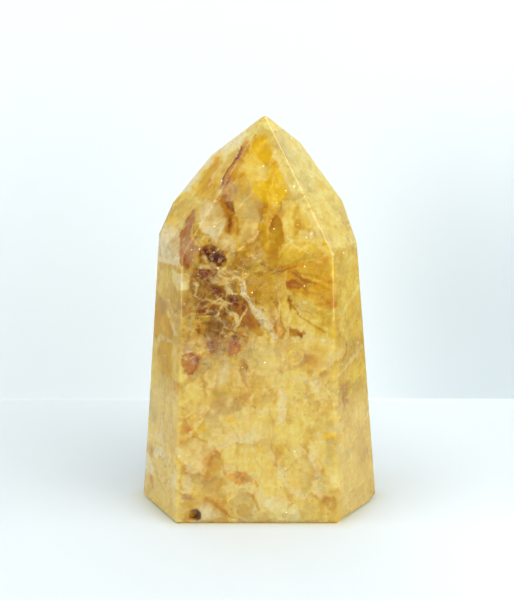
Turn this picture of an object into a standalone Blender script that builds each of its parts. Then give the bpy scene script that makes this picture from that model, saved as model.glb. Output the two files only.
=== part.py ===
"""A polished golden healer quartz point: a squat six-sided tower with a flat base and a faceted tip.

The stone is cut the way a lapidary cuts it. A rough block is trimmed by one flat plane for each
polished face, the arrises are broken a little, and a small natural pit is sunk in the front face.
Metres, +Z up, the front face towards -Y, the origin at the middle of the base.
"""

import math

import bmesh
import bpy
from mathutils import Matrix, Vector
from mathutils.geometry import intersect_plane_plane

MM = 0.001

HEIGHT = 100.4 * MM            # base to tip, before the tip is blunted
BLOCK = 130.0 * MM             # side of the rough block that is trimmed
TIP = Vector((2.0 * MM, 0.0, HEIGHT))

# The six upright faces: compass bearing in degrees (0 is the front, +90 the right),
# lean in degrees from upright, and distance from the axis at the base.
UPRIGHT_FACES = {
    "front": (0.0, 4.4, 20.1 * MM),
    "right_front": (58.0, 3.6, 27.9 * MM),
    "right_back": (110.0, 5.4, 28.5 * MM),
    "back": (180.0, 5.0, 19.0 * MM),
    "left_back": (-120.0, 4.1, 25.4 * MM),
    "left_front": (-63.0, 3.5, 27.2 * MM),
}

# The shoulder corners: the two upright faces that meet there, and the height.
SHOULDER_CORNERS = {
    "left": ("left_back", "left_front", 70.7 * MM),
    "front_left": ("left_front", "front", 67.3 * MM),
    "front_right": ("front", "right_front", 68.1 * MM),
    "right": ("right_front", "right_back", 68.8 * MM),
}

# The broad faces that run from two shoulder corners up to the tip.
BROAD_TIP_FACES = (("left", "front_left"), ("front_left", "front_right"), ("front_right", "right"))

# The small faces that close the tip behind them: bearing, and lean from upright.
CAP_FACES = {
    "right_cap": (128.0, 51.7),
    "back_cap": (180.0, 42.0),
    "left_cap": (-125.0, 51.9),
}

# The faces that start at a shoulder corner and round off the side ridges: bearing and lean.
LOWER_FLANK_FACES = {
    "right": (97.0, 14.3),
    "left": (-97.0, 19.3),
}

# The faces between those and the caps: bearing, lean, and distance from the axis at FLANK_HEIGHT.
FLANK_HEIGHT = 68.0 * MM
UPPER_FLANK_FACES = {
    "right_upper": (118.0, 30.5, 26.2 * MM),
    "back": (180.0, 20.0, 14.9 * MM),
    "left_upper": (-112.0, 35.3, 27.7 * MM),
}

BASE_BEVEL = 0.55 * MM         # height of the bevel round the base
BASE_BEVEL_RISE = 45.0         # its slope from the floor, in degrees

# The bruised lower right corner, ground to one small flat: bearing, rise from the floor in
# degrees, and distance from the axis where it leaves the floor.
CORNER_FLAT = (95.0, 28.5, 28.2 * MM)

ARRIS = 0.30 * MM              # width of the broken edges
ARRIS_ANGLE = 4.0              # edges sharper than this, in degrees, are broken
WELD = 0.02 * MM               # corners nearer each other than this are one

PIT_CENTRE = Vector((-15.9 * MM, -20.3 * MM, 2.2 * MM))
PIT_RADII = Vector((1.15 * MM, 1.7 * MM, 1.0 * MM))
PIT_LUMP = 0.12                # how far the pit's wall strays from an ellipsoid, as a share


def bearing_vector(bearing):
    """The level direction of a compass bearing in degrees."""
    angle = math.radians(bearing)
    return Vector((math.sin(angle), -math.cos(angle), 0.0))


def leaning_normal(bearing, lean):
    """The outward normal of a face that leans back from upright by lean degrees."""
    tilt = math.radians(lean)
    return bearing_vector(bearing) * math.cos(tilt) + Vector((0.0, 0.0, math.sin(tilt)))


def trim(bm, point, normal):
    """Cuts away all that is in front of a plane, and closes the cut with one flat face."""
    parts = bm.verts[:] + bm.edges[:] + bm.faces[:]
    cut = bmesh.ops.bisect_plane(bm, geom=parts, plane_co=point, plane_no=normal, clear_outer=True)
    rim = [item for item in cut["geom_cut"] if isinstance(item, bmesh.types.BMEdge)]
    if rim:
        bmesh.ops.contextual_create(bm, geom=rim)


def upright_plane(name, height=0.0):
    """A point at the given height on an upright face, and the face's normal."""
    bearing, lean, reach = UPRIGHT_FACES[name]
    normal = leaning_normal(bearing, lean)
    inset = height * math.tan(math.radians(lean))
    return bearing_vector(bearing) * (reach - inset) + Vector((0.0, 0.0, height)), normal


def shoulder_corner(name):
    """The point where two upright faces meet at the shoulder's height."""
    first, second, height = SHOULDER_CORNERS[name]
    point, along = intersect_plane_plane(*upright_plane(first), *upright_plane(second))
    return point + along * ((height - point.z) / along.z)


def cut_stone():
    """The stone as a mesh: the rough block trimmed by every polished face in turn."""
    bm = bmesh.new()
    bmesh.ops.create_cube(bm, size=BLOCK, matrix=Matrix.Translation((0.0, 0.0, BLOCK / 2)))
    for name in UPRIGHT_FACES:
        trim(bm, *upright_plane(name))
    for left, right in BROAD_TIP_FACES:
        edge = shoulder_corner(right) - shoulder_corner(left)
        trim(bm, TIP, edge.cross(TIP - shoulder_corner(left)).normalized())
    for bearing, lean in CAP_FACES.values():
        trim(bm, TIP, leaning_normal(bearing, lean))
    for corner, (bearing, lean) in LOWER_FLANK_FACES.items():
        trim(bm, shoulder_corner(corner), leaning_normal(bearing, lean))
    for bearing, lean, reach in UPPER_FLANK_FACES.values():
        point = bearing_vector(bearing) * reach + Vector((0.0, 0.0, FLANK_HEIGHT))
        trim(bm, point, leaning_normal(bearing, lean))
    for name, (bearing, _lean, _reach) in UPRIGHT_FACES.items():
        point = upright_plane(name, BASE_BEVEL)[0]
        trim(bm, point, leaning_normal(bearing, BASE_BEVEL_RISE - 90.0))
    bearing, rise, reach = CORNER_FLAT
    trim(bm, bearing_vector(bearing) * reach, leaning_normal(bearing, rise - 90.0))
    bmesh.ops.remove_doubles(bm, verts=bm.verts[:], dist=WELD)
    bmesh.ops.recalc_face_normals(bm, faces=bm.faces[:])
    mesh = bpy.data.meshes.new("quartz_point")
    bm.to_mesh(mesh)
    bm.free()
    return mesh


def base_centre(mesh):
    """The middle, in plan, of the box that the stone fills."""
    xs = [vertex.co.x for vertex in mesh.vertices]
    ys = [vertex.co.y for vertex in mesh.vertices]
    return Vector(((min(xs) + max(xs)) / 2, (min(ys) + max(ys)) / 2, 0.0))


def pit_cutter(collection, shift):
    """A lumpy pebble shape that stands half in the front face and sinks the pit."""
    bm = bmesh.new()
    bmesh.ops.create_icosphere(bm, subdivisions=2, radius=1.0)
    for vertex in bm.verts:
        x, y, z = vertex.co
        lump = math.sin(3.1 * x + 1.7) * math.cos(2.7 * z - 0.6) + 0.5 * math.sin(4.3 * y + 2.9 * z)
        vertex.co *= 1.0 + PIT_LUMP * lump
    mesh = bpy.data.meshes.new("pit_cutter")
    bm.to_mesh(mesh)
    bm.free()
    mesh.transform(Matrix.Translation(PIT_CENTRE + shift) @ Matrix.Diagonal((*PIT_RADII, 1.0)))
    cutter = bpy.data.objects.new("pit_cutter", mesh)
    cutter.hide_render = True
    cutter.display_type = "WIRE"
    collection.objects.link(cutter)
    return cutter


def golden_quartz():
    """The stone's own colour, as a plain Principled material."""
    material = bpy.data.materials.new("golden_quartz")
    material.use_nodes = True
    shader = material.node_tree.nodes["Principled BSDF"]
    shader.inputs["Base Color"].default_value = (0.66, 0.44, 0.14, 1.0)
    shader.inputs["Roughness"].default_value = 0.08
    shader.inputs["Metallic"].default_value = 0.0
    shader.inputs["IOR"].default_value = 1.544
    shader.inputs["Transmission Weight"].default_value = 0.6
    return material


def new_collection(name):
    collection = bpy.data.collections.new(name)
    bpy.context.scene.collection.children.link(collection)
    return collection


def clear_scene():
    for obj in list(bpy.data.objects):
        bpy.data.objects.remove(obj)


def main():
    clear_scene()
    parts = new_collection("golden_healer_quartz_point")
    cutters = new_collection("cutters")

    mesh = cut_stone()
    shift = -base_centre(mesh)
    mesh.transform(Matrix.Translation(shift))
    mesh.materials.append(golden_quartz())
    stone = bpy.data.objects.new("quartz_point", mesh)
    parts.objects.link(stone)

    arris = stone.modifiers.new("arris", "BEVEL")
    arris.width = ARRIS
    arris.segments = 2
    arris.limit_method = "ANGLE"
    arris.angle_limit = math.radians(ARRIS_ANGLE)

    pit = stone.modifiers.new("pit", "BOOLEAN")
    pit.operation = "DIFFERENCE"
    pit.object = pit_cutter(cutters, shift)


main()
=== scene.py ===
import bpy
import numpy as np
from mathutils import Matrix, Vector


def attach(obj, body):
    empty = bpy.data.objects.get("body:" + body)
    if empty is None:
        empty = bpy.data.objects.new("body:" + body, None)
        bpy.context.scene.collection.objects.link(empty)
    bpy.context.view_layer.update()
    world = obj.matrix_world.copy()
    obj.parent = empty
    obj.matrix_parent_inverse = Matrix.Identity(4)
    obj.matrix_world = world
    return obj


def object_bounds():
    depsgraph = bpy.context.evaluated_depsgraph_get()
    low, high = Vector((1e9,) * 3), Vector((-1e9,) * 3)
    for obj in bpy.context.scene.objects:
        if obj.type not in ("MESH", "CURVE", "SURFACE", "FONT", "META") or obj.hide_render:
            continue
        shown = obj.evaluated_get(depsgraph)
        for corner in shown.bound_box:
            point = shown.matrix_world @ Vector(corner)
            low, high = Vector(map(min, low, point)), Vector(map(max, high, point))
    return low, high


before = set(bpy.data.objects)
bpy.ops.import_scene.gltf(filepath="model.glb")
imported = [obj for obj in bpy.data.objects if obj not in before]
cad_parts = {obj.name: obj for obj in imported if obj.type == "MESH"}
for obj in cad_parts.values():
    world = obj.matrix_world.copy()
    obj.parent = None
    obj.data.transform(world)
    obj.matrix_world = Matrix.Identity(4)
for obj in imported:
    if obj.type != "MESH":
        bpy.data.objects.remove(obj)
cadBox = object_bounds()
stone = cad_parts["quartz_point"]

mm = 0.001                                 # lengths below are in metres, written as so many mm
broadFace = 8.0 * mm * mm                  # the broken edges are smaller than this


def readFaces(node):
    # outward normal and distance from the origin of each broad face: triangles that share a normal are one
    # face, and the thin broken edges are left out by their area
    mesh = node.data
    count = len(mesh.polygons)
    normals, centres, extents = np.empty(count * 3), np.empty(count * 3), np.empty(count)
    mesh.polygons.foreach_get("normal", normals)
    mesh.polygons.foreach_get("center", centres)
    mesh.polygons.foreach_get("area", extents)
    normals, centres = normals.reshape(-1, 3), centres.reshape(-1, 3)
    _, first, which = np.unique(np.round(normals, 2), axis=0, return_index=True, return_inverse=True)
    broad = np.bincount(which.ravel(), weights=extents) > broadFace
    chosen = normals[first][broad]
    return chosen, (centres[first][broad] * chosen).sum(axis=1)


faceNormals, faceDistances = readFaces(stone)
print("faces of the stone read:", len(faceNormals))

hashKeys = np.array([12.9898, 78.233, 37.719])     # uneven numbers, so that neighbouring cells differ
hashSpread = 43758.5453
seedSalts = (0.0, 1.7, 3.1)                # one for each of a seed's x, y and z
markSalts = (5.3, 7.9, 9.7)                # one for each of a cell's own three numbers


def hashed(cells, salt):
    # one number from 0 to 1 for each lattice cell, the same every time: what is left of a large multiple of
    # the sine of its place
    return np.modf(np.abs(np.sin(cells @ hashKeys + salt)) * hashSpread)[0]


def eased(part):
    # 0 to 1 with a soft start and a soft end: three squares less two cubes
    return part * part * (3.0 - 2.0 * part)


def smooth(value, start, end):
    # 0 before start and 1 after end, eased between them
    return eased(np.clip((value - start) / (end - start), 0.0, 1.0))


def mixed(first, second, share):
    # first, with its share of the way to second for each point
    return first + (np.array(second) - first) * share[:, None]


def drifting(points, size, salt, octaves=3):
    # random numbers on a lattice joined by smooth steps, plus finer ones at half the strength, about -1 to 1
    total = np.zeros(len(points))
    for octave in range(octaves):
        place = points / size * 2.0 ** octave
        low = np.floor(place)
        part = eased(place - low)
        for corner in np.ndindex(2, 2, 2):
            weight = np.prod(np.where(corner, part, 1.0 - part), axis=1)
            total += weight * (hashed(low + corner, salt + octave) * 2.0 - 1.0) * 0.5 ** octave
    return total


def driftingAll(points, size, salts, octaves=4):
    # one column of drifting numbers for each salt
    return np.stack([drifting(points, size, salt, octaves) for salt in salts], axis=1)


def brokenCells(points, size, salt):
    # the nearest of the points strewn one to a lattice cell: offset from it, its own three numbers, and how
    # much nearer it is than the next one
    lattice = np.floor(points / size)
    best = np.full(len(points), 1e9)
    second = best.copy()
    offset, marks = np.zeros_like(points), np.zeros_like(points)
    for step in np.ndindex(3, 3, 3):
        cell = lattice + np.array(step) - 1.0
        seed = cell + np.stack([hashed(cell, salt + k) for k in seedSalts], axis=1)
        away = points / size - seed
        far = np.linalg.norm(away, axis=1)
        near = far < best
        second = np.where(near, best, np.minimum(second, far))
        best = np.where(near, far, best)
        offset[near] = away[near]
        marks[near] = np.stack([hashed(cell[near], salt + k) for k in markSalts], axis=1)
    return offset, marks, second - best


# colours as they look on the stone, red, green and blue from 0 to 255
seen = {
    "paleLemon": (231, 215, 138), "lemonMilk": (216, 206, 144), "lemon": (228, 204, 86),
    "butter": (236, 212, 110), "cream": (230, 208, 138), "milk": (220, 207, 170), "snow": (240, 232, 206),
    "pearl": (212, 190, 140),
    "straw": (222, 192, 100), "sand": (208, 178, 104), "beige": (200, 174, 124), "tan": (192, 156, 92),
    "gold": (217, 178, 76), "honey": (198, 150, 62), "mustard": (196, 156, 48), "brownGold": (176, 130, 44),
    "amber": (230, 180, 46), "deepAmber": (202, 144, 32), "orange": (208, 132, 34),
    "caramel": (182, 124, 52),
    "rust": (160, 92, 44), "umber": (116, 64, 34), "umberGold": (146, 104, 40), "cocoa": (138, 96, 62),
    "olive": (176, 154, 68), "mauve": (170, 130, 108), "pink": (206, 164, 126), "plum": (88, 50, 46),
    "glow": (240, 216, 130), "thread": (242, 222, 160), "shade": (190, 126, 24),
}


def light(name):
    # the linear amounts of light of one of those colours
    share = np.array(seen[name]) / 255.0
    return np.where(share < 0.04045, share / 12.92, ((share + 0.055) / 1.055) ** 2.4)


def picked(names, mark):
    # for each point one colour of the list, by a number from 0 to 1; 0.999 keeps a 1 inside the list
    choices = np.array([light(name) for name in names])
    return choices[(mark * 0.999 * len(names)).astype(int)]


# the coloured areas seen from the front: colour of the rim, colour of the core, softness of the rim in mm,
# and and the outline's corners as x and z in mm; later ones lie over earlier ones
areas = {
    "tipGround": ("olive", "honey", 1.5, [(-1.9, 97.4), (2.6, 96.7), (11.4, 77.5), (17.6, 67.7), (0.6, 64.1),
        (-14.5, 66.3), (-15.7, 78.3), (-9.2, 84), (-3.8, 93.3)]),
    "leftTop": ("lemonMilk", "lemonMilk", 1.6, [(0.6, 102.4), (-8.4, 96.5), (-15.9, 90.9), (-21, 84.4),
        (-25.5, 77.6), (-27.9, 70.1), (-19.3, 71.5), (-15.7, 78.3), (-9.2, 84.4), (-3.8, 93.3),
        (-0.9, 97.5)]),
    "leftRim": ("snow", "snow", 0.8, [(0.6, 102.4), (-8.4, 96.5), (-15.9, 90.9), (-21, 84.4), (-23.5, 79.5),
        (-17.5, 81.3), (-13.7, 85.7), (-10.7, 89.6), (-6.8, 92.2), (-3.1, 95.9)]),
    "leftOlive": ("tan", "honey", 0.5, [(-4.1, 93.2), (-6.3, 91.6), (-9.3, 88.6), (-11.8, 85.2),
        (-14.5, 81.4), (-15, 79.1), (-12.2, 80.2), (-9.2, 84), (-6.8, 88.6)]),
    "leftStreaks": ("gold", "deepAmber", 0.35, [(-9.9, 90.6), (-12.4, 87.4), (-15.2, 83.4), (-16.6, 80),
        (-13.4, 79.6), (-10.6, 82.6), (-9.2, 85.6), (-9.4, 88)]),
    "leftMottle": ("straw", "straw", 0.5, [(-16.5, 82.7), (-18.5, 80.6), (-21.6, 77.3), (-24.2, 73),
        (-21.3, 73.1), (-17.5, 76.1), (-15.8, 79.5), (-14, 81.9)]),
    "leftSky": ("snow", "snow", 0.6, [(-18.8, 71.6), (-27.4, 72.7), (-28.5, 63.4), (-21, 64.6),
        (-19.1, 66.2), (-17.9, 74.6)]),
    "leftShoulder": ("sand", "tan", 1.5, [(-28, 63.4), (-19.1, 65.7), (-15.9, 63.1), (-16, 56.9),
        (-17.5, 45.7), (-29.4, 41.7), (-28.7, 53.5)]),
    "leftHoney": ("sand", "sand", 0.6, [(-25.8, 62.7), (-21.6, 62.9), (-23.3, 55.7), (-26.2, 54.4)]),
    "clearFoot": ("cream", "milk", 0.3, [(-21.6, 62.9), (-16.7, 64.1), (-17.4, 60.1), (-20, 59),
        (-21.6, 60.7)]),
    "leftBrown": ("tan", "honey", 0.6, [(-26.7, 53.1), (-23.6, 55.1), (-20.9, 50), (-20, 47.7),
        (-22.9, 45.2), (-27.7, 43.5)]),
    "leftMid": ("pearl", "sand", 1.5, [(-29.9, 43.1), (-20.6, 46.4), (-20.7, 31.5), (-24.2, 19.1),
        (-31.9, 16.3), (-30.6, 29.7)]),
    "leftMauve": ("honey", "honey", 0.7, [(-24.9, 44.2), (-21.7, 45.1), (-21.2, 39.9), (-22.1, 36.1),
        (-25.2, 36.1), (-26.1, 40.5)]),
    "leftOliveLow": ("sand", "sand", 0.6, [(-28.5, 27.4), (-25.3, 29.2), (-25.1, 22.1), (-27.8, 17.3),
        (-29.4, 18.7)]),
    "leftFoot": ("cream", "sand", 1.5, [(-31.9, 16.3), (-23.6, 19.5), (-20.8, 13.8), (-20.4, -1.8),
        (-32.3, -0.5), (-32.5, 8)]),
    "leftDark": ("tan", "umber", 0.25, [(-28.7, 14.5), (-27.2, 15), (-27.2, 12.7), (-28.4, 11.6)]),
    "leftMilk": ("lemonMilk", "snow", 0.4, [(-26.9, 15.5), (-24.5, 16.9), (-24, 14.2), (-26.6, 12.6)]),
    "leftEdgeMilk": ("milk", "snow", 0.4, [(-31, 11.7), (-28.1, 11.8), (-28.2, 8.1), (-31.7, 3.9)]),
    "ridgeTan": ("straw", "sand", 0.8, [(-24.1, 31.9), (-20.7, 33.5), (-19.7, 21.8), (-20.8, 13.8),
        (-23.7, 16.9)]),
    "milkPatch": ("cream", "milk", 0.35, [(-22.3, 12.3), (-19.8, 13), (-20.4, 8.7), (-22.3, 8.2)]),
    "rightTip": ("lemonMilk", "paleLemon", 1.6, [(0.6, 102.4), (12.7, 93.9), (23.7, 77.8), (27.1, 68.2),
        (18.1, 67.7), (11.4, 77.3), (6.3, 86), (2.6, 93.9)]),
    "rightTipPale": ("lemonMilk", "lemonMilk", 1.0, [(3.8, 96.6), (10.2, 92.1), (15.2, 85), (14.4, 78.9),
        (9.9, 82.8), (6, 89.7)]),
    "rightTipGold": ("paleLemon", "paleLemon", 0.9, [(17.6, 79.2), (21.5, 75.2), (24.1, 69.6), (21.1, 68.2),
        (18.3, 71.9)]),
    "rightTop": ("sand", "straw", 1.6, [(18.1, 67.7), (27.1, 68.2), (28.3, 54), (29.1, 42.2), (18.8, 45.6),
        (18.2, 56.9)]),
    "rightLemon": ("straw", "straw", 0.8, [(19.7, 67.4), (24.4, 67), (25.4, 54.2), (22.5, 55.2),
        (19.2, 60.2)]),
    "rightMauve": ("gold", "tan", 0.6, [(18.2, 69.3), (19.7, 66.4), (18.7, 62.4), (19.3, 53.8), (20.2, 45),
        (18.5, 45.7), (17.9, 56.9)]),
    "rightBrown": ("sand", "honey", 0.5, [(23.7, 52), (25.7, 51.3), (26.2, 48.1), (24.6, 49.4)]),
    "rightMid": ("sand", "sand", 1.5, [(18.8, 45.6), (29.1, 43.5), (30.8, 27.7), (31.8, 16.8), (22.3, 17.5),
        (20.6, 26), (19.4, 36.7)]),
    "rightPale": ("straw", "straw", 0.6, [(22.7, 38.6), (26.4, 42.1), (27.3, 35), (24.4, 33), (21.6, 35.1)]),
    "rightPink": ("tan", "mauve", 0.6, [(20.2, 36.3), (22.5, 35.2), (22.2, 29), (20.9, 26.7)]),
    "rightLow": ("sand", "sand", 1.5, [(20.7, 18.4), (31.6, 17.8), (32.9, 3), (20.5, -1.4), (19.6, 11.4)]),
    "rightHaze": ("sand", "sand", 0.8, [(21.8, 17.3), (25.2, 16.4), (25.9, 7.7), (21.9, 6.2), (20.4, 11.4)]),
    "cornerBrown": ("sand", "sand", 0.5, [(20.5, 1.6), (28.2, 0.4), (30.3, 1.8), (30, 3.1), (24.4, 4.1),
        (20.8, 3.5)]),
    "amberTop": ("amber", "amber", 1.0, [(-3.8, 88.5), (-1.4, 94), (0.6, 97.2), (2.8, 93.7), (5.3, 88.1),
        (7.7, 82.6), (4.8, 78.6), (0.4, 79), (-2.6, 82.6)]),
    "tipPale": ("butter", "lemonMilk", 0.7, [(-0.9, 98.4), (1.1, 99.7), (3.1, 98), (0.6, 95.8), (-1.4, 96)]),
    "amberStripe": ("mustard", "mustard", 0.5, [(-0.9, 81.2), (1.6, 80.5), (2.1, 76.4), (1.6, 73.2),
        (2.5, 69.1), (0.6, 70.2), (-0.4, 74.1)]),
    "pinkLump": ("honey", "honey", 0.3, [(-5.3, 86.7), (-2.6, 85.8), (-2.1, 82.5), (-4.5, 83.2)]),
    "ridgeRust": ("caramel", "caramel", 0.3, [(-3.2, 95), (-5.8, 89.8), (-7.8, 86.6), (-9.6, 83.4),
        (-8, 82.8), (-5.9, 85), (-4.2, 88.8), (-2.4, 93)]),
    "ridgeUmber": ("caramel", "umber", 0.3, [(-6.6, 88.4), (-7.9, 86.4), (-9.5, 83.5), (-7.2, 83.9),
        (-5.7, 86.6)]),
    "lilacLump": ("mauve", "pink", 0.25, [(-9.5, 83.8), (-6.7, 85.1), (-5.5, 83.2), (-6.2, 79.8),
        (-7.5, 79.3), (-9.4, 81.2)]),
    "lilacDark": ("cocoa", "plum", 0.2, [(-8.2, 79.8), (-6.2, 80), (-5.7, 77.5), (-7, 77.9)]),
    "pebbleTop": ("pearl", "milk", 0.3, [(-14.7, 77.7), (-12.7, 79.5), (-10.2, 79.8), (-8.4, 78.2),
        (-9.2, 76.1), (-13.5, 75), (-15.3, 75.5)]),
    "pebbleLow": ("milk", "milk", 0.2, [(-15.3, 75.1), (-12.1, 75.4), (-8.2, 76.3), (-8.9, 73.4),
        (-10.3, 70.7), (-11.8, 72), (-13.8, 72.9)]),
    "pebbleFoot": ("beige", "pearl", 0.35, [(-9.9, 71.3), (-7.7, 72.2), (-5.7, 70.7), (-6.2, 68.6),
        (-8.6, 68.6)]),
    "purpleSeam": ("mauve", "mauve", 0.25, [(-16, 78), (-17.4, 75.3), (-18.3, 71.7), (-18.7, 68.9),
        (-17.9, 66.3), (-15.9, 65.3), (-15.2, 69.5), (-16.5, 72.5), (-16.1, 75.6)]),
    "seamFoot": ("mauve", "mauve", 0.3, [(-19.2, 68.8), (-17.6, 69), (-16.7, 64.8), (-18.1, 66)]),
    "greySlab": ("tan", "tan", 0.4, [(-6, 82.5), (-3.5, 81.9), (-0.6, 78.9), (0.1, 76.1), (-0.6, 72.7),
        (-3.5, 69.8), (-5.5, 72), (-6.2, 76.1)]),
    "slabOrange": ("brownGold", "brownGold", 0.25, [(-6.2, 76.8), (-5.2, 76.1), (-4.8, 72.3), (-5.7, 72.2)]),
    "darkGap": ("caramel", "umber", 0.2, [(-8.2, 77.9), (-6, 77.5), (-6.2, 72.9), (-7.4, 72), (-8.4, 72.9)]),
    "greyWedge": ("tan", "tan", 0.3, [(-3.3, 71.3), (-0.6, 73.2), (0.4, 70.2), (1.6, 67.2), (-0.4, 66.3),
        (-2.3, 69.1)]),
    "midLemon": ("olive", "tan", 0.5, [(-8.1, 68.6), (-3.3, 69.1), (0.6, 66.3), (-0.4, 64.3), (-6.7, 64.8)]),
    "oval": ("brownGold", "brownGold", 0.25, [(2.8, 76.1), (4.3, 76.8), (5.5, 74.8), (6, 71.6), (5, 68.2),
        (3, 68.4), (2.1, 72)]),
    "ovalFoot": ("mustard", "honey", 0.4, [(2.1, 67.7), (5, 67.7), (9.8, 67.2), (5.2, 65.3), (2.1, 64.3)]),
    "pane": ("straw", "straw", 0.5, [(6.2, 79.8), (9.4, 79.8), (12.8, 75.5), (15.4, 70.9), (6.4, 71.6)]),
    "paneWhite": ("cream", "pearl", 0.25, [(7.9, 73.9), (10.8, 73.6), (12.5, 71.1), (10.6, 71.8)]),
    "paneGold": ("gold", "gold", 0.5, [(6, 71.1), (15.7, 70.7), (14, 68.9), (5.2, 65.8)]),
    "wedge": ("orange", "deepAmber", 0.25, [(6.9, 65.3), (17.4, 66.7), (18.2, 54.9), (14, 56.4), (9.2, 57.7),
        (6.7, 59.4)]),
    "wedgeDark1": ("caramel", "rust", 0.2, [(7.1, 63.9), (9.4, 64.5), (12.2, 62.7), (14.4, 61.1),
        (11.5, 61.1), (8.5, 62.3)]),
    "wedgeDark2": ("rust", "rust", 0.2, [(6.5, 61.6), (9, 62), (11.6, 60.4), (9.6, 59.3), (6.9, 59.8)]),
    "wedgeGold": ("deepAmber", "orange", 0.3, [(12.1, 61.1), (17.4, 64.3), (17.9, 60.6), (14.3, 59.1)]),
    "wedgeLow": ("gold", "gold", 0.3, [(8.9, 58.9), (13.8, 57.7), (18.2, 54.7), (17.5, 53), (11.4, 54.9)]),
    "wedgeDark3": ("brownGold", "umber", 0.2, [(6.5, 58.4), (7.9, 57.7), (8.2, 54.4), (7, 54.7)]),
    "underWedge": ("gold", "straw", 0.5, [(7.9, 55.7), (18.2, 53.4), (17.8, 48.5), (12.9, 49.2),
        (8.4, 51.5)]),
    "rustSpot": ("caramel", "umber", 0.25, [(7.2, 50.2), (9.9, 49.7), (11.4, 48.7), (10.7, 47.7),
        (7.7, 48)]),
    "centerPane": ("honey", "honey", 0.3, [(-3.5, 62.8), (2.3, 64.1), (3, 60.1), (2.3, 55.7), (-0.6, 54.9),
        (-2.8, 57.2), (-4, 60.1)]),
    "centerDark": ("brownGold", "brownGold", 0.3, [(-2.3, 59.4), (0.6, 58.9), (0.1, 55.7), (-1.8, 56.7)]),
    "post": ("honey", "tan", 0.4, [(2.6, 60.1), (3.8, 59.4), (5.3, 54.4), (6, 48.7), (4.1, 46.2),
        (2.8, 52.5)]),
    "tanPost": ("honey", "honey", 0.4, [(4, 64.3), (6.9, 64.8), (6.7, 58.9), (5, 55.9), (3.5, 60.4)]),
    "clusterGround": ("brownGold", "umberGold", 1.2, [(-16, 65.5), (-10, 67), (-5, 63.5), (-3.4, 57),
        (-0.6, 50), (-5, 45.5), (-12, 44.5), (-15.6, 47), (-16.6, 56)]),
    "plumGlass": ("cocoa", "plum", 0.2, [(-15.3, 69.3), (-11.8, 70.6), (-9.1, 69.1), (-7.9, 66.7),
        (-9.3, 64.4), (-11.8, 65.7), (-14.5, 66.8)]),
    "plumLow": ("cocoa", "umber", 0.25, [(-15.4, 65), (-12.5, 65.8), (-9.8, 64.3), (-9, 61.9), (-13.3, 61.3),
        (-15.4, 63)]),
    "clusterGold": ("brownGold", "honey", 0.3, [(-9.1, 66.3), (-5.7, 64.8), (-4.8, 61.4), (-7.2, 61.8),
        (-9.1, 64.3)]),
    "greyLilac": ("beige", "milk", 0.25, [(-12.5, 62.1), (-10.3, 62.8), (-7.4, 61.4), (-6.7, 58.6),
        (-8.2, 57.7), (-9.4, 59.9), (-12.3, 60.6)]),
    "redSpot": ("umberGold", "umber", 0.2, [(-12.2, 60.6), (-9.5, 60.9), (-8, 58.8), (-9, 56.8),
        (-11.9, 57.3)]),
    "umberSpot": ("umberGold", "umber", 0.2, [(-7.8, 58), (-6, 59.3), (-4, 56.9), (-3.6, 54.6), (-5.6, 53.4),
        (-7.4, 55)]),
    "ridgeSpeck": ("umberGold", "mauve", 0.25, [(-16.7, 63.3), (-15.5, 62.8), (-14.8, 58.9), (-13.8, 54.4),
        (-15.5, 54.7), (-16.7, 59.4)]),
    "clusterLeft": ("umberGold", "tan", 0.3, [(-14.7, 60.4), (-11.8, 59.9), (-11.1, 56.9), (-13.1, 55.9),
        (-14.8, 57.4)]),
    "clusterMid": ("brownGold", "cocoa", 0.4, [(-13.8, 55.9), (-8.2, 55.4), (-5.3, 51.5), (-6.7, 45.7),
        (-12.6, 45.7), (-14.6, 50.7)]),
    "leftRust": ("caramel", "umber", 0.25, [(-15.8, 54.9), (-13.3, 55.2), (-13.1, 53.7), (-14.6, 53)]),
    "leftRust2": ("caramel", "umber", 0.25, [(-16, 50.7), (-13.8, 50.2), (-13.4, 47.2), (-15.3, 47)]),
    "midRust": ("caramel", "umber", 0.2, [(-4, 53), (-1.8, 52.7), (-2.1, 50.7), (-3.5, 51.2)]),
    "mauveSpot": ("mauve", "cocoa", 0.2, [(-0.6, 54.9), (1.3, 54.9), (0.9, 53.5), (-1.1, 53.7)]),
    "snowBand": ("milk", "snow", 0.2, [(-4.5, 62.1), (-3.8, 59.6), (-1.6, 55.4), (1.1, 52.5), (3.3, 50),
        (4.1, 47), (2.1, 49.2), (-0.9, 52.2), (-2.8, 54.9), (-4.5, 59.1)]),
    "bandShade": ("caramel", "caramel", 0.3, [(-4.8, 56.9), (-2.3, 54), (-0.4, 51), (1.6, 48.5), (-0.9, 48),
        (-3.8, 50.5), (-5.3, 54)]),
    "goldStep": ("honey", "sand", 0.4, [(-5.8, 49.5), (-1.1, 50), (2.6, 47), (0.6, 44.5), (-4.8, 45.5)]),
    "darkTop": ("caramel", "umber", 0.25, [(-14.3, 47.5), (-10.4, 47.5), (-10.9, 44.7), (-13.4, 44.7)]),
    "purpleLump": ("tan", "mauve", 0.25, [(-19.3, 46.2), (-16.6, 45.5), (-16.6, 42.7), (-18.3, 42.5)]),
    "orangeLump": ("rust", "orange", 0.25, [(-19.5, 43), (-17, 44), (-15.1, 42.5), (-14.7, 40), (-16.3, 38),
        (-18.7, 38.7)]),
    "ridgeRed": ("honey", "caramel", 0.35, [(-21.2, 36.1), (-18.9, 36.5), (-18.4, 34.2), (-21.3, 33.1)]),
    "gemSpeck": ("sand", "tan", 0.3, [(-14.4, 43.5), (-11.7, 43.2), (-11.7, 38.5), (-13.4, 39.2)]),
    "paleTongue": ("sand", "straw", 0.4, [(-14.9, 39), (-12.9, 39), (-11.7, 34.5), (-13.4, 34)]),
    "whiteSlab": ("sand", "pearl", 0.35, [(-10.9, 44.7), (-7.5, 43.2), (-6.8, 39.2), (-8.3, 35.5),
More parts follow.
